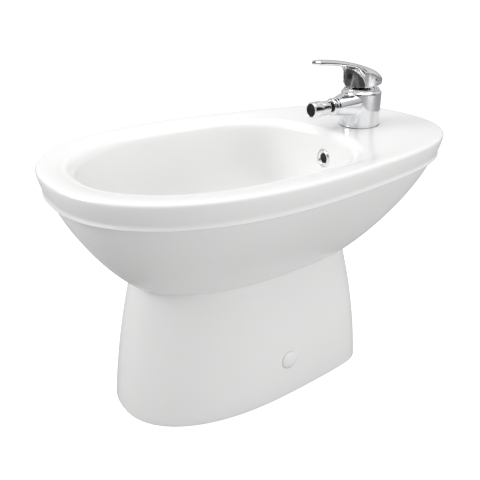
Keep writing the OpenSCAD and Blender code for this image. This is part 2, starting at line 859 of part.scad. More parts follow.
module ports(r, height) {
    for (side = [-1, 1]) translate([side * inlet_pitch / 2, inlet_y, -over]) rod(r, height + 2 * over);
    translate([0, outlet_y, -over]) rod(r, height + 2 * over);
}

module cartridge_housing() {
    floor_z = cartridge_floor + gap;
    color("dimgray") at_tap(floor_z) difference() {
        rod(cartridge_r, guide_top - floor_z);
        translate([0, 0, disc_z - floor_z]) rod(cartridge_r - cartridge_wall, guide_top);
        ports(port_r + 1.2, disc_z - floor_z);
    }
}

module cartridge_seals() {
    color("darkred") at_tap(cartridge_floor) {
        for (side = [-1, 1]) translate([side * inlet_pitch / 2, inlet_y, 0]) tube(port_r + 1, port_r, disc_z - cartridge_floor);
        translate([0, outlet_y, 0]) tube(port_r + 1, port_r, disc_z - cartridge_floor);
    }
}

module fixed_disc() {
    color("ivory") at_tap(disc_z) difference() {
        rod(cartridge_r - cartridge_wall - 0.2, disc_height);
        ports(port_r, disc_height);
    }
}

module moving_disc() {
    color("ivory") at_tap(moving_disc_z) difference() {
        rod(disc_r, moving_disc_height);
        translate([0, -3.5, -over]) rod(5.5, 1.8 + over);
    }
}

module disc_carrier() {
    color("gainsboro") at_tap(carrier_z) difference() {
        rod(disc_r, carrier_height);
        translate([0, 0, -over]) rod(stem_ball_r + gap, carrier_height + 2 * over);
    }
}

module lever_guide() {
    height = guide_top - guide_bottom;
    slot = stem_width + 2 * gap;
    color("white") at_tap(guide_bottom) difference() {
        rod(guide_r, height);
        translate([-slot / 2, -8, -over]) cube([slot, 19, height + 2 * over]);
        translate([-guide_r - over, 0, pivot_height - guide_bottom]) to_side() rod(pin_d / 2 + run_gap, 2 * guide_r + 2 * over);
    }
}

module pivot_pin() {
    length_in_guide = 2 * guide_r - 3;
    color("silver") at_tap(pivot_height) translate([-length_in_guide / 2, 0, 0]) to_side() rod(pin_d / 2, length_in_guide);
}

module lever_stem() {
    block = stem_width + 2;
    color("silver") at_tap(0) difference() {
        union() {
            translate([-stem_width / 2, -block / 2, pivot_height - 4.5]) cube([stem_width, block, 9]);
            translate([-stem_width / 2, -stem_width / 2, pivot_height])
                cube([stem_width, stem_width, stem_top - pivot_height]);
            translate([0, 0, stem_ball_z]) rod(2, pivot_height - 4 - stem_ball_z);
            translate([0, 0, stem_ball_z]) sphere(r = stem_ball_r, $fn = 48);
        }
        translate([-stem_width, 0, pivot_height]) to_side() rod(pin_d / 2 + run_gap, 2 * stem_width);
    }
}

module retaining_nut() {
    color("goldenrod") at_tap(guide_top + 0.2) difference() {
        rod(cartridge_r + 0.4, nut_top - guide_top - 0.2);
        translate([0, 0, -over]) rod(12.8, nut_top);
        for (turn = [0, 90]) rotate([0, 0, turn])
            translate([-cartridge_r - over, -2, nut_top - guide_top - 2.5]) cube([2 * cartridge_r + 2 * over, 4, 5]);
    }
}

module bonnet() {
    color("silver") at_tap(mixer_height) rotate_extrude($fn = 96) polygon([
        [mixer_d / 2 - 3.4, 0], [mixer_d / 2 - 3.4, 1.6], [mixer_d / 2 - 4.6, 2.6], [20.5, 3.7],
        [16.4, 4.3], [16.4, 2.8], [20, 2.2], [mixer_d / 2 - 6.4, 1.2], [mixer_d / 2 - 6.4, 0]
    ]);
}

// ---------------------------------------------------------------- lever

// Height of the lever's upper edge along its length
function lever_top_z(y) = lever_rear_z + (lever_top - lever_rear_z) * rise((hub_r - y) / (hub_r + lever_reach), 1.6);

function lever_depth(y) =
    let (root = -lever_reach * 0.4)
    y < root ? lever_thickness : lever_thickness + 6 * pow((y - root) / 21, 2);

function lever_side_z(y) =
    let (t = min(1, max(0, (-5 - y) / 27)), s = t * t * (3 - 2 * t))
    mix(lever_rear_z, lever_top_z(y) - lever_thickness * 0.55, s);

// Lower edge of the hub, higher at the rear so that the lever can lift
function skirt_z(y) = lever_skirt + skirt_slant * (y + hub_r) / (2 * hub_r);

function lever_low_z(y) = min(lever_side_z(y) - 2, max(skirt_z(y) + 2, lever_top_z(y) - lever_depth(y)));

function lever_half(y) =
    y > 0 ? (hub_r + 0.4) * sqrt(max(0, 1 - pow(y / (hub_r + 0.4), 2)))
    : mix(lever_tip_width / 2, hub_r + 0.4, pow((y + lever_reach) / lever_reach, 1.7));

// Section across the lever, a superellipse that is fuller below
function lever_ring(y, close) =
    let (
        half = lever_half(y) * close, side = lever_side_z(y),
        up = (lever_top_z(y) - side) * close, down = (side - lever_low_z(y)) * close
    )
    [
        for (k = [0:lever_points - 1])
            let (a = 360 * k / lever_points, c = cos(a), s = sin(a))
            [
                half * sign(c) * pow(abs(c), 0.85),
                y,
                side + (s > 0 ? up : down) * sign(s) * pow(abs(s), s > 0 ? 0.85 : 0.7)
            ]
    ];

module lever_blade() {
    tip = 6;
    hub_rings = [for (k = [1:hub_stations]) lever_ring((hub_r + 0.4) * cos(90 * k / hub_stations), 1)];
    blade_rings = [for (k = [1:lever_stations]) lever_ring(-(lever_reach - tip) * k / lever_stations, 1)];
    tip_rings = [for (k = [1:4]) lever_ring(tip - lever_reach - tip * sin(20 * k), pow(1 - pow(sin(20 * k), 3), 1 / 3))];
    skin(
        [0, hub_r + 0.4, lever_rear_z],
        concat(hub_rings, blade_rings, tip_rings),
        [0, -lever_reach, lever_side_z(-lever_reach)]
    );
}

module hub() {
    rear_z = lever_rear_z;
    front_z = lever_top_z(-hub_r) - 5;
    slope = atan((front_z - rear_z) / (2 * hub_r));
    slant = atan(skirt_slant / (2 * hub_r));
    intersection() {
        rotate_extrude($fn = 96) polygon([
            [0, lever_skirt], [hub_r, lever_skirt], [hub_r, lever_top], [0, lever_top]
        ]);
        translate([0, 0, (rear_z + front_z) / 2]) rotate([-slope, 0, 0])
            translate([-50, -60, -80]) cube([100, 120, 80]);
        translate([0, 0, lever_skirt + skirt_slant / 2]) rotate([slant, 0, 0])
            translate([-50, -60, 0]) cube([100, 120, 80]);
    }
}

// Shallow arched recess in the front of the hub, under the blade
module arch_recess() {
    difference() {
        translate([0, -8, 0]) to_nose()
            linear_extrude(40) polygon(arch_outline(arch_half, lever_skirt - over, arch_foot, arch_top, 12));
        translate([0, 0, lever_skirt - 5]) rod(hub_r - arch_depth, 60);
    }
}

module lever_handle() {
    socket = stem_width + 0.2;
    color("silver") at_tap(0) difference() {
        union() {
            hub();
            lever_blade();
        }
        arch_recess();
        translate([0, 0, lever_skirt - over]) rod(hub_r - 4.5, 9 + over);
        translate([-socket / 2, -socket / 2, lever_skirt]) cube([socket, socket, stem_top + 0.5 - lever_skirt]);
        translate([0, -stem_width / 2 - 0.1, plug_height]) to_nose() rod(2.6, hub_r);
        translate([0, 5.3 - hub_r + arch_depth, plug_height]) to_nose() rod(indicator_r + 0.1, 20);
    }
}

module grub_screw() {
    color("dimgray") at_tap(plug_height) translate([0, -stem_width / 2 - 0.1, 0]) to_nose() difference() {
        rod(2.5, 8);
        translate([0, 0, 5]) cylinder(r = 1.4, h = 4, $fn = 6);
    }
}

module indicator_plug() {
    face = hub_r - arch_depth;
    color("black") at_tap(plug_height) translate([0, 5 - face, 0]) to_nose() union() {
        rod(indicator_r, 5.2);
        translate([0, 0, 5.2]) cylinder(r1 = indicator_r, r2 = indicator_r - 1, h = 0.6, $fn = 48);
    }
}

// ---------------------------------------------------------------- nozzle

module socket_ring() {
    color("silver") at_ball(0) difference() {
        union() {
            cylinder(r = spout_end_d / 2 - 0.3, h = ring_length - 1, $fn = 64);
            translate([0, 0, ring_length - 1])
                cylinder(r1 = spout_end_d / 2 - 0.3, r2 = spout_end_d / 2 - 1.6, h = 1, $fn = 64);
            translate([0, 0, -5.5]) rod(ball_r + 2.3, 6);
        }
        sphere(r = ball_r + ball_gap, $fn = 96);
        translate([0, 0, -5.5 - over]) rod(ball_r + ball_gap, 5.5 + over);
    }
}

module ball_seat() {
    color("white") at_ball(-8.2) difference() {
        rod(ball_r + 1.2, 2.4);
        translate([0, 0, 8.2]) sphere(r = ball_r + ball_gap, $fn = 96);
        translate([0, 0, -over]) rod(4.5, 6);
    }
}

module ball_gasket() {
    color("dimgray") at_ball(-9) tube(ball_r + 1.2, 6, 0.6);
}

module nozzle_barrel() {
    color("silver") at_ball(0) difference() {
        union() {
            sphere(r = ball_r, $fn = 96);
            rod(neck_r, barrel_start + 2);
            translate([0, 0, barrel_start])
                cylinder(r1 = neck_r + 0.5, r2 = nozzle_r - 1, h = 3.5, $fn = 64);
            translate([0, 0, barrel_start + 3.5]) rod(nozzle_r - 1, barrel_end - barrel_start - 3.5);
        }
        translate([0, 0, -ball_r - over]) rod(3.4, 60);
        for (side = [-1, 1]) translate([side * (nozzle_r + 2.2), 0, 20]) cube([8, 30, 9], center = true);
    }
}

module aerator_housing() {
    color("silver") at_ball(barrel_end) difference() {
        union() {
            rod(nozzle_r - 0.4, 2);
            translate([0, 0, 1.6]) rod(nozzle_r, nozzle_length - barrel_end - 2.6);
            translate([0, 0, nozzle_length - barrel_end - 1])
                cylinder(r1 = nozzle_r, r2 = nozzle_r - 0.8, h = 1, $fn = 64);
        }
        translate([0, 0, 3]) rod(aerator_r, nozzle_length);
        translate([0, 0, -over]) rod(6, 10);
    }
}

module aerator_insert() {
    depth = nozzle_length - barrel_end - 3;
    color("black") at_ball(barrel_end + 3) difference() {
        rod(aerator_r - 0.1, depth - 1);
        for (ring_index = [1:2]) for (k = [0:ring_index * 6 - 1])
            rotate([0, 0, 360 * k / (ring_index * 6)]) translate([ring_index * 3.2, 0, -over])
                cylinder(r = 0.9, h = depth + 2 * over, $fn = 8);
    }
}

ceramic_body();
overflow_ring();
floor_brackets();
bracket_nuts();
side_sleeves();
side_screws();
screw_caps();
waste_body();
waste_upper_seal();
waste_lower_seal();
waste_washer();
waste_back_nut();
plug_guide();
plug_clicker();
plug_stem();
plug_seal();
plug_cap();
mixer_body();
base_gasket();
fixing_stud();
clamp_gasket();
clamp_washer();
stud_nut();
cartridge_housing();
cartridge_seals();
fixed_disc();
moving_disc();
disc_carrier();
lever_guide();
pivot_pin();
lever_stem();
retaining_nut();
bonnet();
lever_handle();
grub_screw();
indicator_plug();
socket_ring();
ball_seat();
ball_gasket();
nozzle_barrel();
aerator_housing();
aerator_insert();
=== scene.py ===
"""Floor standing bidet with a single lever mixer: glazed casting, chrome fittings, fixings and a pale studio.

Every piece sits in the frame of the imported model, in metres, with its place in its own mesh.
Lengths inside the shape functions are millimetres, measured as on the working drawing of the piece.
"""

import bpy
import numpy as np
from bpy.props import FloatProperty, FloatVectorProperty, PointerProperty
from bpy.types import Operator, Panel, PropertyGroup
from mathutils import Matrix, Vector


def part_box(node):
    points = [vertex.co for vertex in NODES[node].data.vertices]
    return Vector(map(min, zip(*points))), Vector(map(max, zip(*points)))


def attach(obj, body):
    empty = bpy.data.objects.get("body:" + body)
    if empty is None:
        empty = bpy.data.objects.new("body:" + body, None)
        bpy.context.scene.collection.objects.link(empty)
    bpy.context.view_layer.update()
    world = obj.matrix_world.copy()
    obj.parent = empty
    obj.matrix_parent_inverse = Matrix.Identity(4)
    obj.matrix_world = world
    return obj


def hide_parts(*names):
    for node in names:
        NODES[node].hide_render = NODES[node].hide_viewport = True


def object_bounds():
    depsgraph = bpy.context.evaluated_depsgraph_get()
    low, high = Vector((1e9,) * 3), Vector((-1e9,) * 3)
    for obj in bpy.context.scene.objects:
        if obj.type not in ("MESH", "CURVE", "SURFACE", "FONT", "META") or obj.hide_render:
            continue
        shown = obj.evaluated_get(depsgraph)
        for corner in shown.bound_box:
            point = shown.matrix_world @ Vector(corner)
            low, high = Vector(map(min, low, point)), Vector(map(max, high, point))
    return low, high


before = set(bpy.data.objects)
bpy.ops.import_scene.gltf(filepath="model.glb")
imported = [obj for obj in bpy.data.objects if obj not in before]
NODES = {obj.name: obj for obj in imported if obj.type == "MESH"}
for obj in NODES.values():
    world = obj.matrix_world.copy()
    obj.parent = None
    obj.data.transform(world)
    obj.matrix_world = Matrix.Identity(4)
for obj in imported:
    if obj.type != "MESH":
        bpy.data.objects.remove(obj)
CAD_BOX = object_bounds()

bl_info = {
    "name": "Floor standing bidet",
    "version": (1, 0, 0),
    "blender": (4, 5, 0),
    "location": "View3D > Sidebar > Bidet",
    "description": "Builds the visible pieces, finishes and studio of a floor standing bidet",
    "category": "Object",
}

MM = 0.001


def edge(node, end, axis):
    """Low (0) or high (1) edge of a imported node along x, y or z (0, 1, 2), in millimetres."""
    return round(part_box(node)[end][axis] / MM, 3)


def middle(node, axis):
    """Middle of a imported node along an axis, in millimetres."""
    low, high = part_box(node)
    return round((low[axis] + high[axis]) / 2 / MM, 3)


# Sizes and places of the bidet in millimetres, read from the frame
CREASE_DROP = 166.0
CAP_HEIGHT = 6.8
CLEARANCE = 0.3
LENGTH = round((CAD_BOX[1][1] - CAD_BOX[0][1]) / MM, 3)
WIDTH = round((CAD_BOX[1][0] - CAD_BOX[0][0]) / MM, 3)
NOSE_Y = -LENGTH / 2
RIM_Z = edge("ceramic_body", 1, 2)
DECK_Z = edge("base_gasket", 0, 2)
CREASE_Z = RIM_Z - CREASE_DROP
WASTE_Y = middle("waste_body", 1)
FLANGE_Z = edge("waste_body", 1, 2)
TAP_Y = middle("bonnet", 1)
OVERFLOW_Z = middle("overflow_ring", 2)
OVERFLOW_SEAT_Y = edge("overflow_ring", 0, 1) + 3
FIXING_Y = middle("screw_caps", 1)
FIXING_Z = middle("screw_caps", 2)
CAP_SEAT_X = edge("screw_caps", 1, 0) - CAP_HEIGHT
# Mixer and lever, in millimetres above the deck and from the tap hole's axis
BODY_R = 30.0
BODY_TOP = 54.5
SPOUT_REACH = 54.0
SPOUT_HEIGHT = 34.0
SPOUT_R = 13.25
CARTRIDGE_R = 18.0
BALL_R = 9.0
NOZZLE_END = 26.0
HUB_R = 29.0
SHOULDER_R = HUB_R + 0.4
LEVER_REACH = 95.0
LEVER_TOP = 104.0
LEVER_REAR = 71.0
SCREW_HEIGHT = 75.0
SCREW_R = 2.6
PLUG_SEAT_R = 4.7
STEM_SQUARE = 8.2
RECESS_HALF = 23.5
SKIRT = 59.5
BLADE = 7.6


# ---------------------------------------------------------------- sizes and colours


def colour_property(name, description, default):
    """Colour for the panel."""
    return FloatVectorProperty(
        name=name, description=description, subtype="COLOR", size=3, min=0, max=1, default=default,
    )


class CastingSettings(PropertyGroup):
    glaze: colour_property("Glaze", "Colour of the white glaze", (0.86, 0.86, 0.855))
    bisque: colour_property("Bisque", "Colour of the unglazed china", (0.74, 0.70, 0.64))
    rim_crown: FloatProperty(
        name="Rim crown", description="How far the middle of the rim's top stands above a straight slope",
        unit="LENGTH", min=0.0, max=0.002, default=0.0008,
    )


class FittingSettings(PropertyGroup):
    chrome: colour_property("Chrome", "Colour of the chrome plate", (0.86, 0.865, 0.88))
    brass: colour_property("Brass", "Colour of the machined brass", (0.66, 0.48, 0.20))
    steel: colour_property("Plated steel", "Colour of the zinc plated steel", (0.55, 0.56, 0.58))
    edge_radius: FloatProperty(
        name="Edge radius", description="Radius of the small rounded edges on the turned pieces",
        unit="LENGTH", min=0.0001, max=0.001, default=0.0005,
    )


class StudioSettings(PropertyGroup):
    camera_azimuth: FloatProperty(
        name="Camera azimuth", description="Direction of the camera round the bidet",
        subtype="ANGLE", default=np.radians(57.0),
    )
    camera_elevation: FloatProperty(
        name="Camera elevation", description="Height of the camera above the horizon",
        subtype="ANGLE", default=np.radians(25.12),
    )
    camera_distance: FloatProperty(
        name="Camera distance", description="Distance from the camera to the bidet's middle",
        unit="LENGTH", default=0.9,
    )
    floor_colour: colour_property("Floor", "Colour of the floor", (0.42, 0.42, 0.42))


# ---------------------------------------------------------------- meshes


def mesh_object(name, points, faces, materials, face_materials=None, sharp=None):
    """Object at the origin from an (n, 3) array of points in millimetres and a list of face index arrays."""
    mesh = bpy.data.meshes.new(name)
    polygons = [f for group in faces for f in np.asarray(group).tolist()]
    mesh.from_pydata((np.asarray(points) * MM).tolist(), [], polygons)
    for finish in materials:
        mesh.materials.append(finish)
    if face_materials is not None:
        mesh.polygons.foreach_set("material_index", np.asarray(face_materials, dtype=np.int32))
    mesh.polygons.foreach_set("use_smooth", np.ones(len(mesh.polygons), dtype=bool))
    mesh.update()
    mesh.validate()
    if sharp is not None:
        mesh.set_sharp_from_angle(angle=np.radians(sharp))
    piece = bpy.data.objects.new(name, mesh)
    bpy.context.scene.collection.objects.link(piece)
    return piece


def ring_faces(rows, columns, wrap_rows=False):
    """Quads between neighbouring rings: point (i, j) has index i * columns + j, and each ring is closed.

    They face outwards where the rings run anticlockwise seen from the end of the path."""
    i = np.arange(rows if wrap_rows else rows - 1)[:, None]
    j = np.arange(columns)[None, :]
    nxt = (i + 1) % rows
    a, b = i * columns + j, i * columns + (j + 1) % columns
    c, d = nxt * columns + (j + 1) % columns, nxt * columns + j
    return np.stack([a, b, c, d], axis=-1).reshape(-1, 4)


def rounded_profile(corners, radii, steps=4):
    """Profile whose inner corners are replaced by arcs that touch both sides, with a radius for each corner.

    The points of an arc are centre + radius (cos, sin), the angle evenly spread from side to side."""
    corners = np.asarray(corners, dtype=float)
    out = [corners[0]]
    for before, corner, after, r in zip(corners[:-2], corners[1:-1], corners[2:], radii[1:-1]):
        u, v = before - corner, after - corner
        lu, lv = np.linalg.norm(u), np.linalg.norm(v)
        u, v = u / lu, v / lv
        half = np.arccos(np.clip(u @ v, -1, 1)) / 2
        if r <= 0 or half > np.radians(88):
            out.append(corner)
            continue
        reach = min(r / np.tan(half), 0.45 * min(lu, lv))
        r = reach * np.tan(half)
        centre = corner + (u + v) / np.linalg.norm(u + v) * r / np.sin(half)
        start, end = corner + u * reach - centre, corner + v * reach - centre
        a0 = np.arctan2(start[1], start[0])
        turn = (np.arctan2(end[1], end[0]) - a0 + np.pi) % (2 * np.pi) - np.pi
        angle = a0 + turn * np.linspace(0, 1, steps + 1)
        out.extend(centre + r * np.stack([np.cos(angle), np.sin(angle)], axis=-1))
    out.append(corners[-1])
    return np.array(out)


def lathe(profile, place, steps=128, closed=False):
    """Points and faces of a turned shape: a profile point (r, h) makes the circle (r cos a, r sin a, h).

    The profile runs so that the outside is on its right. A profile that ends on the axis is closed by a point
    and a closed one makes a ring. place is a 4x4 matrix in millimetres from the lathe's axis to the bidet."""
    profile = np.asarray(profile, dtype=float)
    angle = 2 * np.pi * np.arange(steps) / steps
    on_axis = profile[:, 0] < 1e-6
    body = profile[~on_axis]
    r, h = body[:, 0][:, None], body[:, 1][:, None]
    points = np.stack([r * np.cos(angle), r * np.sin(angle), h + 0 * angle], axis=-1).reshape(-1, 3)
    faces = [ring_faces(len(body), steps, closed)]
    j = np.arange(steps)
    if on_axis[0]:
        points = np.vstack([points, [0, 0, profile[0, 1]]])
        faces.append(np.stack([np.full(steps, len(points) - 1), (j + 1) % steps, j], axis=-1))
    if on_axis[-1]:
        top = (len(body) - 1) * steps
        points = np.vstack([points, [0, 0, profile[-1, 1]]])
        tip = np.full(steps, len(points) - 1)
        faces.append(np.stack([tip, top + j, top + (j + 1) % steps], axis=-1))
    return points @ place[:3, :3].T + place[:3, 3], faces


def upright(y, z):
    """Lathe axis along +Z at (0, y, z)."""
    return np.array([[1, 0, 0, 0], [0, 1, 0, y], [0, 0, 1, z], [0, 0, 0, 1]], dtype=float)


def to_nose(y, z):
    """Lathe axis along -Y from (0, y, z)."""
    return np.array([[1, 0, 0, 0], [0, 0, -1, y], [0, 1, 0, z], [0, 0, 0, 1]], dtype=float)


def to_side(x, y, z):
    """Lathe axis along +X from (x, y, z), or along -X where x is negative."""
    s = 1.0 if x > 0 else -1.0
    return np.array([[0, 0, s, x], [s, 0, 0, y], [0, 1, 0, z], [0, 0, 0, 1]], dtype=float)


def prism(contour, low, high, place):
    """Points and faces of a straight prism over a closed contour, from low to high along the place's axis."""
    n = len(contour)
    low_ring = np.column_stack([contour, np.full(n, low)])
    high_ring = np.column_stack([contour, np.full(n, high)])
    points = np.vstack([low_ring, high_ring]) @ place[:3, :3].T + place[:3, 3]
    return points, [ring_faces(2, n), [np.arange(n)[::-1]], [np.arange(n) + n]]


def circle(radius, steps=96):
    """Points radius (cos a, sin a)."""
    angle = 2 * np.pi * np.arange(steps) / steps
    return np.column_stack([radius * np.cos(angle), radius * np.sin(angle)])


def rounded_rectangle(w, d, r, steps=12):
    """Rectangle w by d round the origin whose corners are quarter circles of radius r."""
    turn = np.radians(90) * np.arange(steps + 1) / steps
    parts = []
    for q, (sx, sy) in enumerate([(1, 1), (-1, 1), (-1, -1), (1, -1)]):
        a = turn + q * np.pi / 2
        centre = [sx * (w / 2 - r), sy * (d / 2 - r)]
        parts.append(centre + r * np.column_stack([np.cos(a), np.sin(a)]))
    return np.vstack(parts)


def arch(half, foot, spring, crown, steps=48):
    """Opening with straight sides up to the spring and half an ellipse up to the crown."""
    a = np.pi * np.arange(steps + 1) / steps
    top = np.column_stack([half * np.cos(a), spring + (crown - spring) * np.sin(a)])
    return np.vstack([[[-half, foot], [half, foot]], top])


def cut(piece, cutters, finish=None):
    """Takes each (points, faces) cutter out; the cut faces get the finish, or the piece's first one."""
    finish = finish or piece.data.materials[0]
    made = [mesh_object(f"{piece.name}_cutter", *shape, [finish]) for shape in cutters]
    for cutter in made:
        modifier = piece.modifiers.new("cut", "BOOLEAN")
        modifier.operation = "DIFFERENCE"
        modifier.material_mode = "TRANSFER"
        modifier.solver = "EXACT"
        modifier.object = cutter
    bake(piece)
    for cutter in made:
        discard(cutter)


def discard(piece):
    """Deletes the piece and its mesh."""
    mesh = piece.data
    bpy.data.objects.remove(piece)
    bpy.data.meshes.remove(mesh)


def bake(piece):
    """Replaces the piece's mesh by what its modifiers make of it."""
    bpy.context.view_layer.update()
    graph = bpy.context.evaluated_depsgraph_get()
    mesh = bpy.data.meshes.new_from_object(piece.evaluated_get(graph))
    old = piece.data
    piece.modifiers.clear()
    piece.data = mesh
    bpy.data.meshes.remove(old)
    mesh.name = piece.name


def face_centres(piece):
    """Centres of the piece's faces in millimetres, as an (n, 3) array."""
    centres = np.empty(3 * len(piece.data.polygons))
    piece.data.polygons.foreach_get("center", centres)
    return centres.reshape(-1, 3) / MM


def give_second_finish(piece, finish, chosen):
    """The chosen faces, a mask over all of them, take the finish as the piece's second one."""
    piece.data.materials.append(material(finish))
    piece.data.polygons.foreach_set("material_index", chosen.astype(np.int32))


def finish_shading(piece, sharp):
    """Smooth shading with edges sharper than the angle kept crisp."""
    piece.data.polygons.foreach_set("use_smooth", np.ones(len(piece.data.polygons), dtype=bool))
    piece.data.set_sharp_from_angle(angle=np.radians(sharp))


def settle(piece, body, node):
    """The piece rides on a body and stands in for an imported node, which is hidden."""
    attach(piece, body)
    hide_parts(node)


def difference(shape, cutter):
    """A closed (points, faces) shape with a cutter taken out of it."""
    piece = mesh_object("difference", *shape, [material("chrome")])
    cut(piece, [cutter])
    points = np.empty(3 * len(piece.data.vertices))
    piece.data.vertices.foreach_get("co", points)
    faces = [[tuple(polygon.vertices)] for polygon in piece.data.polygons]
    discard(piece)
    return points.reshape(-1, 3) / MM, faces


def joined(shapes):
    """Several closed (points, faces) shapes as one."""
    points, faces, offset = [], [], 0
    for shell, groups in shapes:
        points.append(shell)
        faces += [np.asarray(group) + offset for group in groups]
        offset += len(shell)
    return np.vstack(points), faces


# ---------------------------------------------------------------- shared surface effects


def new_group(name, inputs, outputs):
    """Node group with the given (name, socket type, default) inputs and (name, socket type) outputs."""
    group = bpy.data.node_groups.new(name, "ShaderNodeTree")
    for label, kind, default in inputs:
        socket = group.interface.new_socket(name=label, in_out="INPUT", socket_type=kind)
        socket.default_value = default
    for label, kind in outputs:
        group.interface.new_socket(name=label, in_out="OUTPUT", socket_type=kind)
    return group, group.nodes.new("NodeGroupInput"), group.nodes.new("NodeGroupOutput")


def feed(tree, socket, item):
    """Links another socket to this one, or gives it a value."""
    if isinstance(item, bpy.types.NodeSocket):
        tree.links.new(item, socket)
    else:
        socket.default_value = item


def new_node(tree, kind, inputs=None, **settings):
    """Node of the kind with its settings, and inputs by name or number, each a socket or a value."""
    made = tree.nodes.new(kind)
    for name, value in settings.items():
        setattr(made, name, value)
    for key, item in (inputs or {}).items():
        feed(tree, made.inputs[key], item)
    return made


def calc(tree, operation, *items):
    """Result of a Math node."""
    inputs = dict(enumerate(items))
    return new_node(tree, "ShaderNodeMath", inputs, operation=operation).outputs[0]


def blend(tree, kind, factor, a, b):
    """a where the factor is 0 and b where it is 1, for the data type kind."""
    inputs = {"Factor": factor, "A": a, "B": b}
    return new_node(tree, "ShaderNodeMix", inputs, data_type=kind).outputs["Result"]


def mapped(tree, value, low, high, to_low, to_high):
    """Smoothstep from low..high to to_low..to_high."""
    inputs = dict(enumerate((value, low, high, to_low, to_high)))
    made = new_node(tree, "ShaderNodeMapRange", inputs, interpolation_type="SMOOTHSTEP")
    return made.outputs["Result"]


def noise(tree, vector, scale):
    """Two octaves of noise."""
    inputs = {"Vector": vector, "Scale": scale, "Detail": 2.0, "Roughness": 0.5}
    return new_node(tree, "ShaderNodeTexNoise", inputs).outputs["Fac"]


def blotch_group():
    """Soft blotches: noise at Scale, mapped to Low..High as Value, and mixing two colours as Color."""
    group, enter, leave = new_group(
        "soft_blotches", [
            ("Scale", "NodeSocketFloat", 10.0),
            ("Low", "NodeSocketFloat", 0.0),
            ("High", "NodeSocketFloat", 1.0),
            ("Colour A", "NodeSocketColor", (0.8, 0.8, 0.8, 1)),
            ("Colour B", "NodeSocketColor", (0.7, 0.7, 0.7, 1)),
        ], [("Value", "NodeSocketFloat"), ("Color", "NodeSocketColor")],
    )
    given = enter.outputs
    cloud = noise(group, new_node(group, "ShaderNodeTexCoord").outputs["Object"], given["Scale"])
    value = mapped(group, cloud, 0.2, 0.8, given["Low"], given["High"])
    mask = mapped(group, cloud, 0.2, 0.8, 0.0, 1.0)
    feed(group, leave.inputs["Value"], value)
    feed(group, leave.inputs["Color"], blend(group, "RGBA", mask, given["Colour A"], given["Colour B"]))
    return group


def grain_group():
    """Fine grain: noise at Scale plus 0.35 of noise at four times Scale, as Height for a Bump node."""
    group, enter, leave = new_group(
        "fine_grain",
        [("Scale", "NodeSocketFloat", 100.0), ("Stretch", "NodeSocketVector", (1.0, 1.0, 1.0))],
        [("Height", "NodeSocketFloat")],
    )
    place = new_node(group, "ShaderNodeTexCoord").outputs["Object"]
    inputs = {0: place, 1: enter.outputs["Stretch"]}
    stretched = new_node(group, "ShaderNodeVectorMath", inputs, operation="MULTIPLY").outputs[0]
    coarse = noise(group, stretched, enter.outputs["Scale"])
    fine = noise(group, stretched, calc(group, "MULTIPLY", enter.outputs["Scale"], 4.0))
    feed(group, leave.inputs["Height"], calc(group, "MULTIPLY_ADD", fine, 0.35, coarse))
    return group


SHARED = {}


def shared(name, maker):
    """The node group or material of that name, made on first use."""
    if name not in SHARED:
        SHARED[name] = maker()
    return SHARED[name]


def finish_material(name, colour_a, colour_b, rough, scale, grain, metallic=0.0, stretch=(1, 1, 1),
                    coat=0.0, coat_rough=0.05, specular=0.5):
    """Principled material: colour and roughness drift in soft blotches, the normal has a fine grain.

    rough is the range of the roughness, scale the blotches', and grain the grain's scale and strength."""
    made = bpy.data.materials.new(name)
    made.use_nodes = True
    tree = made.node_tree
    shader = tree.nodes["Principled BSDF"]
    blotch = new_node(tree, "ShaderNodeGroup", {
        "Scale": scale, "Low": rough[0], "High": rough[1],
        "Colour A": (*colour_a, 1), "Colour B": (*colour_b, 1),
    }, node_tree=shared("blotch", blotch_group)).outputs
    grains = new_node(tree, "ShaderNodeGroup", {"Scale": grain[0], "Stretch": stretch},
                      node_tree=shared("grain", grain_group)).outputs
    bump = new_node(tree, "ShaderNodeBump", {
        "Strength": grain[1], "Distance": 0.001, "Height": grains["Height"],
    }).outputs
    for socket, item in {
        "Base Color": blotch["Color"], "Roughness": blotch["Value"], "Normal": bump["Normal"],
        "Metallic": metallic, "IOR": 1.5, "Specular IOR Level": specular,
        "Coat Weight": coat, "Coat Roughness": coat_rough,
    }.items():
        feed(tree, shader.inputs[socket], item)
    made.diffuse_color = (*colour_a, 1)
    return made


def shade(colour, factor):
    """The colour times a factor."""
    return tuple(min(1.0, c * factor) for c in colour)


def metal(name, colour, darker, rough, scale, grain, **more):
    """Metal whose second colour is the first one darkened."""
    return finish_material(name, colour, shade(colour, darker), rough, scale, grain, 1.0, **more)


